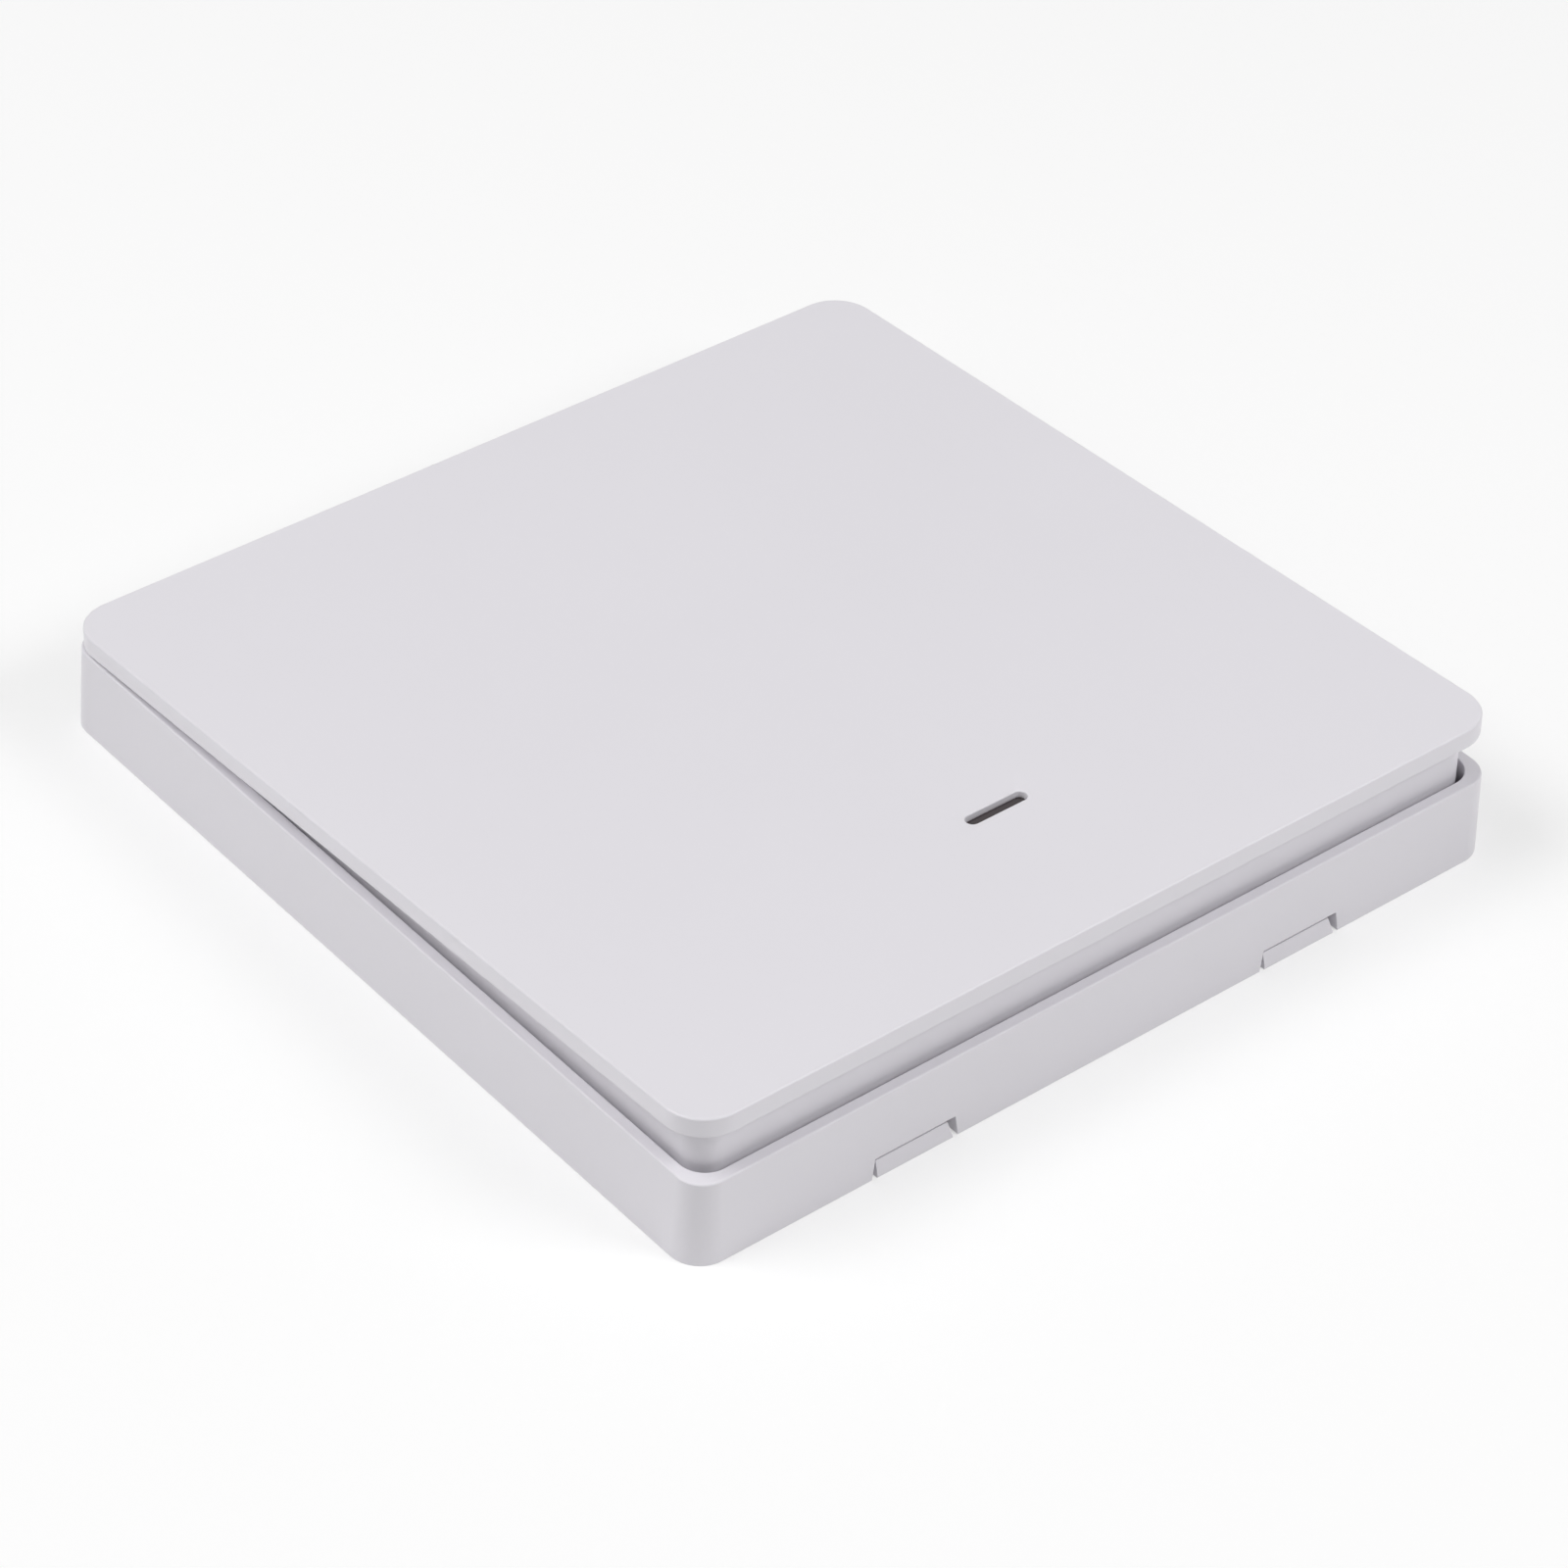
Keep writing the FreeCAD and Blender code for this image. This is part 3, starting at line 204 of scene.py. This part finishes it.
def softened_copy(node, name, body, material, reshaped=None):
    """A solid's shape with its facets joined into whole faces and its hard edges slightly rounded, after
    its points have been reshaped where asked."""
    mesh = frame["nodes"][node].data.copy()
    mesh.name = name
    mesh.materials.clear()
    if reshaped:
        points = np.empty(3 * len(mesh.vertices))
        mesh.vertices.foreach_get("co", points)
        mesh.vertices.foreach_set("co", (reshaped(points.reshape(-1, 3) / MM) * MM).ravel())
    work = bmesh.new()
    work.from_mesh(mesh)
    bmesh.ops.remove_doubles(work, verts=work.verts, dist=SAME_POINT * MM)
    bmesh.ops.dissolve_limit(work, angle_limit=math.radians(FLAT_ANGLE), verts=work.verts, edges=work.edges)
    work.to_mesh(mesh)
    work.free()
    finished(name, mesh, body, material, [node], SOFT_EDGE)


class Amount:
    """What one shader socket gives, a number or a colour; arithmetic on numbers adds Math nodes."""

    def __init__(self, nodes, socket):
        self.nodes = nodes
        self.socket = socket

    def math(self, operation, first, second):
        return self.nodes.node("ShaderNodeMath", {"operation": operation}, {0: first, 1: second})

    def __add__(self, other):
        return self.math("ADD", self, other)

    def __sub__(self, other):
        return self.math("SUBTRACT", self, other)

    def __rsub__(self, other):
        return self.math("SUBTRACT", other, self)

    def __mul__(self, other):
        return self.math("MULTIPLY", self, other)

    def __gt__(self, other):
        return self.math("GREATER_THAN", self, other)

    def __lt__(self, other):
        return self.math("LESS_THAN", self, other)

    def __or__(self, other):
        """The larger of the two."""
        return self.math("MAXIMUM", self, other)

    __radd__ = __add__
    __rmul__ = __mul__
    __ror__ = __or__


class Nodes:
    """The nodes of a material's or the world's shader."""

    def __init__(self, owner):
        owner.use_nodes = True
        self.tree = owner.node_tree

    def node(self, kind, settings, inputs, output=0):
        """A node of any kind: its settings first, then its sockets' values or links."""
        made = self.tree.nodes.new(kind)
        for name, value in settings.items():
            setattr(made, name, value)
        for key, value in inputs.items():
            self.feed(made.inputs[key], value)
        return Amount(self, made.outputs[output])

    def feed(self, socket, value):
        if isinstance(value, Amount):
            self.tree.links.new(value.socket, socket)
        else:
            socket.default_value = value

    def found(self, kind):
        """The node of this kind that the shader started with."""
        return next(node for node in self.tree.nodes if node.type == kind)

    def seen_directly(self):
        """1 for the camera's view, and for what gloss and clear plastic show; 0 for light that falls."""
        camera, gloss, clear = [self.node("ShaderNodeLightPath", {}, {}, output)
                                for output in ("Is Camera Ray", "Is Glossy Ray", "Is Transmission Ray")]
        return camera | gloss | clear


# Numbers of a Mix node's sockets for colours, since it also has sockets of the same names for numbers
MIX = {"share": 0, "first": 6, "second": 7, "mixed": 2}


class Finish(Nodes):
    """A material in the making: one Principled shader, and nodes fed by name."""

    def __init__(self, name, **constants):
        self.material = bpy.data.materials.new(name)
        super().__init__(self.material)
        self.shader = self.found("BSDF_PRINCIPLED")
        for socket, value in constants.items():
            self.set(socket.replace("_", " "), value)
        self.place = self.node("ShaderNodeTexCoord", {}, {}, "Object")

    def set(self, socket, value):
        self.feed(self.shader.inputs[socket], value)

    def stretched(self, scale):
        return self.node("ShaderNodeMapping", {}, {"Vector": self.place, "Scale": scale})

    def noise(self, scale, detail=2.0, place=None):
        """Noise from 0 to 1 with a grain of about 1 / scale metres."""
        return self.node("ShaderNodeTexNoise", {},
                         {"Vector": place or self.place, "Scale": scale, "Detail": detail})

    def mix(self, share, first, second):
        """A colour between two, by a number from 0 to 1."""
        return self.node("ShaderNodeMix", {"data_type": "RGBA"},
                         {MIX["share"]: share, MIX["first"]: first, MIX["second"]: second}, MIX["mixed"])

    def bumped(self, height, depth):
        """Relief on the surface: a height from 0 to 1 times a depth in millimetres."""
        relief = {"Strength": 1.0, "Distance": depth * MM, "Height": height}
        self.set("Normal", self.node("ShaderNodeBump", {}, relief))


def shade(colour, factor):
    """A colour made darker or lighter, with full opacity."""
    return tuple(min(1.0, channel * factor) for channel in colour[:3]) + (1.0,)


# Patterns of the finishes: scales are grains to a metre, dark, light and tones are factors on the colour,
# gloss and rise are amounts of roughness, and the relief of a whole pattern is in millimetres
PLASTIC = {"ior": 1.47, "drift": 45.0, "fine": 5200.0, "broad": 900.0, "detail": 3.0, "dark": 0.985,
           "light": 1.015, "pit_share": 0.05, "pit_tone": 0.93, "gloss_less": 0.06, "gloss_broad": 0.08,
           "gloss_drift": 0.05, "fine_relief": 0.6, "broad_relief": 0.4}
DUST = {"scale": 95.0, "radius": 0.022, "rarity": 0.82, "tone": 0.62}
METAL = {"stain": 260.0, "stain_detail": 3.0, "dark": 0.9, "light": 1.06, "gloss_lines": 0.16,
         "gloss_stain": 0.08, "relief": 0.002}
BOARD = {"ior": 1.5, "runs": (330.0, 330.0, 1.0), "weave": 1500.0, "weave_share": 0.25, "gloss": 0.24,
         "gloss_weave": 0.12, "run_relief": 0.8, "weave_relief": 0.2, "relief": 0.02}
CHIP = {"scale": 4200.0, "dark": 0.85, "light": 1.1, "rise": 0.2, "relief": 0.004}


def moulded(name, colour, roughness, grain=0.004, dust=0.0):
    """Moulded plastic: a fine eroded texture, slow tone drift, slightly uneven gloss and, where dust is
    above 0, a few specks."""
    look = PLASTIC
    finish = Finish(name, IOR=look["ior"])
    drift = finish.noise(look["drift"], look["detail"])
    fine = finish.noise(look["fine"], look["detail"])
    broad = finish.noise(look["broad"])
    tone = finish.mix(drift, shade(colour, look["dark"]), shade(colour, look["light"]))
    tone = finish.mix(fine * look["pit_share"], tone, shade(colour, look["pit_tone"]))
    if dust:
        cells = {"Vector": finish.place, "Scale": DUST["scale"]}
        away = finish.node("ShaderNodeTexVoronoi", {}, cells, "Distance")
        chance = finish.node("ShaderNodeTexVoronoi", {}, cells, "Color")
        speck = (away < DUST["radius"]) * (chance > DUST["rarity"]) * dust
        tone = finish.mix(speck, tone, shade(colour, DUST["tone"]))
    finish.set("Base Color", tone)
    finish.set("Roughness",
               roughness - look["gloss_less"] + look["gloss_broad"] * broad + look["gloss_drift"] * drift)
    finish.bumped(fine * look["fine_relief"] + broad * look["broad_relief"], grain)
    return finish.material


def sheet_metal(name, colour, roughness, stretch, scale=2600.0):
    """Rolled or drawn metal: fine lines in gloss and relief, which run along the axis with the smallest
    number in stretch, and faint stains."""
    look = METAL
    finish = Finish(name, Metallic=1.0)
    lines = finish.noise(scale, place=finish.stretched(stretch))
    stain = finish.noise(look["stain"], look["stain_detail"])
    finish.set("Base Color", finish.mix(stain, shade(colour, look["dark"]), shade(colour, look["light"])))
    finish.set("Roughness", roughness + look["gloss_lines"] * lines + look["gloss_stain"] * stain)
    finish.bumped(lines, look["relief"])
    return finish.material


def solder_mask(mask, over_copper, over_glass):
    """Green board: copper runs show faintly raised and lighter under the mask, over a glass weave."""
    look = BOARD
    finish = Finish("solder_mask_green", IOR=look["ior"])
    runs = finish.node("ShaderNodeTexBrick", {"offset": 0.37, "squash": 1.6, "squash_frequency": 3},
                       {"Vector": finish.stretched(look["runs"]), "Scale": 1.0, "Mortar Size": 0.09,
                        "Brick Width": 1.7, "Row Height": 0.42}, "Fac")
    weave = finish.noise(look["weave"])
    tone = finish.mix(runs, mask, over_copper)
    finish.set("Base Color", finish.mix(weave * look["weave_share"], tone, over_glass))
    finish.set("Roughness", look["gloss"] + look["gloss_weave"] * weave)
    finish.bumped(runs * look["run_relief"] + weave * look["weave_relief"], look["relief"])
    return finish.material


def grained(name, scale, dark, light, roughness, rise, relief, **constants):
    """A finish whose colour, roughness and relief all follow one noise, with roughness + rise * noise."""
    finish = Finish(name, **constants)
    grain = finish.noise(scale)
    finish.set("Base Color", finish.mix(grain, dark, light))
    finish.set("Roughness", roughness + rise * grain)
    finish.bumped(grain, relief)
    return finish.material


def ceramic(name, colour, roughness):
    """Chip part: a fired body with a fine grain."""
    return grained(name, CHIP["scale"], shade(colour, CHIP["dark"]), shade(colour, CHIP["light"]),
                   roughness, CHIP["rise"], CHIP["relief"])


WHITE = (0.775, 0.757, 0.798)
OFF_WHITE = shade(WHITE, 0.985)
INNER_WHITE = shade(WHITE, 0.95)
FINE_WIRE = 3400.0
TURNED = 3000.0
materials = {
    "surround": moulded("surround_white", OFF_WHITE, roughness=0.36, dust=0.6),
    "plate": moulded("plate_white", OFF_WHITE, roughness=0.42),
    "chassis": moulded("chassis_white", INNER_WHITE, roughness=0.46),
    "cap": moulded("cap_white", WHITE, roughness=0.36, dust=0.8),
    "carrier": moulded("carrier_white", OFF_WHITE, roughness=0.42),
    "black": moulded("switch_black", (0.022, 0.022, 0.024), roughness=0.44, grain=0.006),
    "rubber": moulded("pad_rubber", (0.16, 0.16, 0.165), roughness=0.75, grain=0.012),
    "lamp": moulded("lamp_diffuser", (0.8, 0.8, 0.74), roughness=0.3, grain=0.002),
    "lens": grained("smoked_lens", scale=700.0, dark=(0.012, 0.004, 0.006, 1),
                    light=(0.02, 0.009, 0.012, 1), roughness=0.1, rise=0.1, relief=0.003, IOR=1.5),
    "clear": grained("clear_plastic", scale=2400.0, dark=(0.9, 0.92, 0.93, 1),
                     light=(0.97, 0.98, 0.98, 1), roughness=0.06, rise=0.12, relief=0.002, IOR=1.49,
                     Transmission_Weight=0.85),
    "board": solder_mask(mask=(0.012, 0.115, 0.035, 1), over_copper=(0.03, 0.21, 0.06, 1),
                         over_glass=(0.02, 0.09, 0.03, 1)),
    "tin": sheet_metal("tin_plate", (0.74, 0.73, 0.7), roughness=0.24, stretch=(1.0, 0.06, 1.0)),
    "cell": sheet_metal("cell_can", (0.78, 0.78, 0.79), roughness=0.2, stretch=(0.05, 1.0, 1.0)),
    "contact": sheet_metal("contact_sheet", (0.76, 0.74, 0.7), roughness=0.26, stretch=(0.06, 1.0, 1.0)),
    "crystal": sheet_metal("crystal_can", (0.8, 0.8, 0.81), roughness=0.18, stretch=(1.0, 0.08, 1.0)),
    "wire": sheet_metal("spring_wire", (0.66, 0.66, 0.67), roughness=0.28, stretch=(1.0, 1.0, 0.3),
                        scale=FINE_WIRE),
    "copper": sheet_metal("antenna_wire", (0.8, 0.62, 0.42), roughness=0.3, stretch=(0.3, 1.0, 1.0),
                          scale=FINE_WIRE),
    "screw": sheet_metal("screw_zinc", (0.68, 0.69, 0.7), roughness=0.27, stretch=(1.0, 1.0, 0.2),
                         scale=TURNED),
    "capacitor": ceramic("capacitor_body", (0.36, 0.24, 0.13), roughness=0.4),
    "resistor": ceramic("resistor_body", (0.03, 0.03, 0.032), roughness=0.35),
}


def make_surround():
    """Surround: the profile outer wall, rim fillet, rim, inner edge, inner wall, carried round; its lower
    edge rises to the notches' height from x = middle - width / 2 to middle + width / 2, and falls to 0 over
    the flare on either side."""
    size = SURROUND
    across = NOTCH["width"] / 2
    shifts = np.array([-across - NOTCH["flare"], -across, across, across + NOTCH["flare"]])
    places = stations((np.array([[-NOTCH["middle"]], [NOTCH["middle"]]]) + shifts).ravel())
    foot = np.zeros(places.shape[1])
    foot[places[0] == 0] = np.tile([0, 1, 1, 0], 2) * NOTCH["height"]
    slope = size["draft"] / size["height"]
    fillet, soft = size["rim_fillet"], size["inner_soft"]
    shoulder = size["height"] - fillet
    rim_cosine, rim_sine = arc(STEPS["rim"], math.degrees(slope), 90)
    outer_half = size["half"] - slope * shoulder - fillet + fillet * rim_cosine
    inner_cosine, inner_sine = arc(STEPS["inner_edge"], 90, 180)
    inner_half = size["cavity_half"] + soft + soft * inner_cosine
    half, corner, level = profile_rows(
        np.concatenate([outer_half, inner_half, [size["cavity_half"]]]),
        np.concatenate([size["corner"] - (size["half"] - outer_half),
                        size["cavity_corner"] + (inner_half - size["cavity_half"]),
                        [size["cavity_corner"]]]),
        np.concatenate([shoulder + fillet * rim_sine, size["height"] - soft + soft * inner_sine, [0]]),
    ).T[..., None]
    x, y = carried_round(places, half, half, corner)
    z = level + 0 * x
    z[-1] = foot
    foot_half, foot_corner = size["half"] - slope * foot, size["corner"] - slope * foot
    foot_x, foot_y = carried_round(places, foot_half, foot_half, foot_corner)
    points = np.stack([np.vstack([foot_x, x]), np.vstack([foot_y, y]), np.vstack([foot, z])], axis=-1)
    faces = grid_faces(points.shape[0], points.shape[1], True)
    points = points.reshape(-1, 3)
    beads, bead_faces = snap_beads(len(points))
    piece("surround", np.concatenate([points, beads]), faces + bead_faces, "base", materials["surround"],
          ["surround_frame"], size["edge"])


def snap_beads(first):
    """Eight snap beads on the inner wall: a five-sided profile (out, level) drawn out along the wall,
    turned to the four walls, x = along * cosine - out * sine and y = along * sine + out * cosine."""
    wall, low, high = SURROUND["cavity_half"], BEAD["low"], BEAD["low"] + BEAD["height"]
    profile = np.array([(wall + BEAD["root"], low), (wall, low), (wall - BEAD["depth"], (low + high) / 2),
                        (wall, high), (wall + BEAD["root"], high)])
    turn = np.arange(4)[:, None, None, None] * math.pi / 2
    middle = np.array([-1, 1])[None, :, None, None] * BEAD["middle"]
    along = middle + np.array([-0.5, 0.5])[None, None, :, None] * BEAD["length"]
    out, level = profile[None, None, None, :, 0], profile[None, None, None, :, 1]
    x = along * np.cos(turn) - out * np.sin(turn)
    y = along * np.sin(turn) + out * np.cos(turn)
    points = np.stack(np.broadcast_arrays(x, y, level), axis=-1).reshape(-1, 3)
    sides = len(profile)
    starts = first + np.arange(0, len(points), 2 * sides)[:, None]
    ring, after = np.arange(sides), (np.arange(sides) + 1) % sides
    quads = np.stack([starts + after, starts + ring, starts + ring + sides, starts + after + sides],
                     axis=-1)
    ends = (starts + ring).tolist() + (starts + ring[::-1] + sides).tolist()
    return points, quads.reshape(-1, 4).tolist() + ends


def make_cap():
    """Rocker cap: rounded foot, outer side, top fillet, top face, the slot's softened edge and wall, and
    back under the plate. The top face's sizes are edge + (slot - edge) * blend, from the rounded square's
    edge to the window's slot."""
    size, soft = CAP, WINDOW["soft"]
    low, high = size["low"], size["low"] + size["thickness"]
    fillet, foot = size["fillet"], size["foot"]
    cosine, sine = arc(STEPS["cap_foot"], -90, 0)
    half = size["half"] - foot + foot * cosine
    lower = profile_rows(half, half, size["corner"] - size["half"] + half, low + foot + foot * sine, 0.0)
    cosine, sine = arc(STEPS["cap_fillet"], 0, 90)
    half = size["half"] - fillet + fillet * cosine
    corner = size["corner"] - size["half"] + half
    upper = profile_rows(half, half, corner, high - fillet + fillet * sine, 0.0)
    edge_x, edge_y = WINDOW["half_length"] + soft, WINDOW["half_width"] + soft
    blend = np.array([0.08, 0.3, 0.6, 0.85, 0.96])
    flat, flat_corner = half[-1], corner[-1]
    top = profile_rows(flat + (edge_x - flat) * blend, flat + (edge_y - flat) * blend,
                       flat_corner + (edge_y - flat_corner) * blend, high, blend)
    cosine, sine = arc(STEPS["slot_edge"], 90, 180)
    out = soft + soft * cosine
    slot = profile_rows(WINDOW["half_length"] + out, WINDOW["half_width"] + out, WINDOW["half_width"] + out,
                        high - soft + soft * sine, 1.0)
    bottom = profile_rows(WINDOW["half_length"], WINDOW["half_width"], WINDOW["half_width"], low, 1.0)
    profile = np.concatenate([lower, upper, top, slot, bottom])
    half_x, half_y, corner, level, share = profile.T[..., None]
    x, y = carried_round(stations(), half_x, half_y, corner)
    points = np.stack([x + WINDOW["x"] * share, y + WINDOW["y"] * share, level + 0 * x], axis=-1)
    piece("cap", tilted(points), grid_faces(points.shape[0], points.shape[1], True), "rocker",
          materials["cap"], ["rocker_cap"])


def make_lens():
    """Window insert: a flange under the cap, a nose in its slot, and a pillow-shaped top, which rises from
    the nose's edge by crown * (1 - blend to the eighth power) to its middle line."""
    low = CAP["low"]
    edge = low + CAP["thickness"] - LENS["sink"]
    nose = WINDOW["half_width"] - LENS["fit"]
    flange = WINDOW["half_width"] + LENS["margin"]
    blend = np.array([1, 0.985, 0.95, 0.88, 0.75, 0.5, 0])
    half_y = np.concatenate([[0, flange, flange, nose], nose * blend])[:, None]
    level = np.concatenate([[low - LENS["flange"]] * 2, [low, low],
                            edge + LENS_CROWN * (1 - blend ** CROWN_POWER)])[:, None]
    x, y = carried_round(stations(), WINDOW["half_length"] - WINDOW["half_width"] + half_y, half_y, half_y)
    points = np.stack([x + WINDOW["x"], y + WINDOW["y"], level + 0 * x], axis=-1)
    piece("window_lens", tilted(points), grid_faces(points.shape[0], points.shape[1], False), "rocker",
          materials["lens"], ["indicator_lens"])


def make_spring(name, node):
    """Return spring: a round wire carried along a helix, x = radius * cos(turn), y = radius * sin(turn), at
    the rise along - closed_ends * sin(2 pi along), which is slow at both ends, where the turns close up."""
    low, high = box_mm(node)
    middle = (low + high) / 2
    wire, rings, sides = SPRING["wire"], SPRING["rings"], SPRING["sides"]
    radius = (high[0] - low[0]) / 2 - wire
    height = high[2] - low[2]
    along = np.linspace(0, 1, rings)
    turn = 2 * math.pi * SPRING["turns"] * along
    rise = along - SPRING["closed_ends"] * np.sin(2 * math.pi * along)
    centre = np.stack([middle[0] + radius * np.cos(turn), middle[1] + radius * np.sin(turn),
                       low[2] + wire + (height - 2 * wire) * rise], axis=-1)
    outward = np.stack([np.cos(turn), np.sin(turn), 0 * turn], axis=-1)[:, None, :]
    upward = np.array([0, 0, 1])
    angles = np.arange(sides)[None, :, None] * 2 * math.pi / sides
    points = centre[:, None, :] + wire * (np.cos(angles) * outward + np.sin(angles) * upward)
    faces = grid_faces(rings, sides, False)
    faces += [list(range(sides))[::-1], list(range((rings - 1) * sides, rings * sides))]
    spring = piece(name, points, faces, "base", materials["wire"], [node])
    drop = (HINGE["y"] - middle[1]) * math.sin(math.radians(HINGE["tilt"]))
    1 - drop / height
    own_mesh(spring)


make_surround()
make_cap()
make_lens()
softened_copy("rocker_carrier", "carrier", "rocker", materials["carrier"], widened_skirt)
softened_copy("back_plate", "plate", "base", materials["plate"])
softened_copy("chassis", "chassis_cover", "base", materials["chassis"])
make_spring("spring_left", "return_spring_left")
make_spring("spring_right", "return_spring_right")

# Pieces that keep the solids' own shape, with their finish
OWN_SHAPE = {
    "light_pipe": "clear", "circuit_board": "board", "switch_base": "black", "switch_cover": "tin",
    "switch_plunger": "black", "indicator_led": "lamp", "transmitter_chip": "black",
    "crystal_can": "crystal", "chip_capacitors": "capacitor", "chip_resistors": "resistor",
    "loop_antenna": "copper", "coin_cell": "cell", "cell_clip": "contact", "cell_contact": "contact",
    "chassis_screws": "screw", "landing_pads": "rubber",
}
for node, material in OWN_SHAPE.items():
    frame["nodes"][node].material_slots[0].material = materials[material]


def make_floor(reach, opening, drop, colour, glow, share, fade_from, fade_rate):
    """Pale floor that keeps the part's own soft shadow. It is a square frame, with sizes in millimetres:
    the part covers the opening, through which its underside can be seen from below. A share of what is
    seen of it is plain white: the larger of the share given and (distance - fade_from) * fade_rate, with
    the distance in metres."""
    mesh = bpy.data.meshes.new("floor")
    corners = np.array([(-1, -1), (1, -1), (1, 1), (-1, 1)])
    plan = np.concatenate([corners * reach, corners * opening])
    points = np.column_stack([plan, np.full(len(plan), -drop)]) * MM
    ring, after = np.arange(4), (np.arange(4) + 1) % 4
    mesh.from_pydata(points.tolist(), [], np.stack([ring, after, after + 4, ring + 4], axis=-1).tolist())
    floor = bpy.data.objects.new("floor", mesh)
    bpy.context.scene.collection.objects.link(floor)
    finish = Finish("floor_pale", Base_Color=(colour, colour, colour, 1), Roughness=0.9,
                    Specular_IOR_Level=0.1)
    white = finish.node("ShaderNodeEmission", {}, {"Strength": glow})
    lit = Amount(finish, finish.shader.outputs[0])
    away = finish.node("ShaderNodeVectorMath", {"operation": "LENGTH"}, {0: finish.place}, "Value")
    white_share = finish.seen_directly() * (share | (away - fade_from) * fade_rate)
    seen = finish.node("ShaderNodeMixShader", {}, {0: white_share, 1: lit, 2: white})
    finish.feed(finish.found("OUTPUT_MATERIAL").inputs["Surface"], seen)
    mesh.materials.append(finish.material)


def make_world(level):
    """Even pale surroundings, white where they are seen."""
    world = bpy.data.worlds.new("studio")
    bpy.context.scene.world = world
    nodes = Nodes(world)
    light = nodes.node("ShaderNodeBackground", {}, {"Color": (1, 1, 1, 1), "Strength": level})
    white = nodes.node("ShaderNodeBackground", {}, {"Color": (1, 1, 1, 1), "Strength": 1.0})
    both = nodes.node("ShaderNodeMixShader", {}, {0: nodes.seen_directly(), 1: light, 2: white})
    nodes.feed(nodes.found("OUTPUT_WORLD").inputs["Surface"], both)


def make_lamp(name, towards, size, level, distance=1.0):
    """Square soft lamp that faces the part, with sizes in metres. Its power is level * (pi * distance)
    squared, so that a face turned to it gets this level of a full white."""
    data = bpy.data.lights.new(name, "AREA")
    data.size = size
    data.energy = level * (math.pi * distance) ** 2
    lamp = bpy.data.objects.new(name, data)
    bpy.context.scene.collection.objects.link(lamp)
    direction = Vector(towards).normalized()
    lamp.location = direction * distance
    lamp.rotation_euler = direction.to_track_quat("Z", "Y").to_euler()


def make_camera(azimuth, elevation, roll, right_mm, up_mm, away_mm, focal_px, image_px=1600):
    """Camera at the photograph's place: its angles in degrees, where it stands in its own view's axes from
    the part's origin in millimetres, and its focal length in pixels of the photograph."""
    azimuth, elevation, roll = (math.radians(angle) for angle in (azimuth, elevation, roll))
    back = Vector((math.sin(azimuth) * math.cos(elevation), -math.cos(azimuth) * math.cos(elevation),
                   math.sin(elevation)))
    level = Vector((math.cos(azimuth), math.sin(azimuth), 0))
    rise = back.cross(level)
    right = level * math.cos(roll) + rise * math.sin(roll)
    up = rise * math.cos(roll) - level * math.sin(roll)
    data = bpy.data.cameras.new("camera")
    data.sensor_width = 36.0
    data.lens = focal_px * data.sensor_width / image_px
    data.clip_start = 0.01
    camera = bpy.data.objects.new("camera", data)
    bpy.context.scene.collection.objects.link(camera)
    place = (right * right_mm + up * up_mm + back * away_mm) * MM
    camera.matrix_world = Matrix.Translation(place) @ Matrix((right, up, back)).transposed().to_4x4()
    bpy.context.scene.camera = camera


make_floor(reach=1500.0, opening=42.0, drop=0.02, colour=0.9, glow=1.12, share=0.45, fade_from=0.2,
           fade_rate=1.4)
make_world(level=0.15)
make_lamp("lamp_left_high", towards=(-0.5, 0.28, 0.82), size=0.5, level=0.405)
make_lamp("lamp_left_low", towards=(-0.7, 0.3, 0.65), size=0.8, level=0.21)
make_lamp("lamp_right", towards=(0.42, -0.64, 0.65), size=0.4, level=0.375)
make_lamp("lamp_front", towards=(0.1, -0.45, 0.9), size=0.9, level=0.175)
make_lamp("lamp_below", towards=(0.3, -0.3, -1.0), size=0.8, level=0.5)
make_camera(azimuth=-41.154, elevation=38.773, roll=2.932, right_mm=0.912, up_mm=-0.21, away_mm=448.47,
            focal_px=5379.6)
bpy.context.scene.view_settings.view_transform = "Standard"
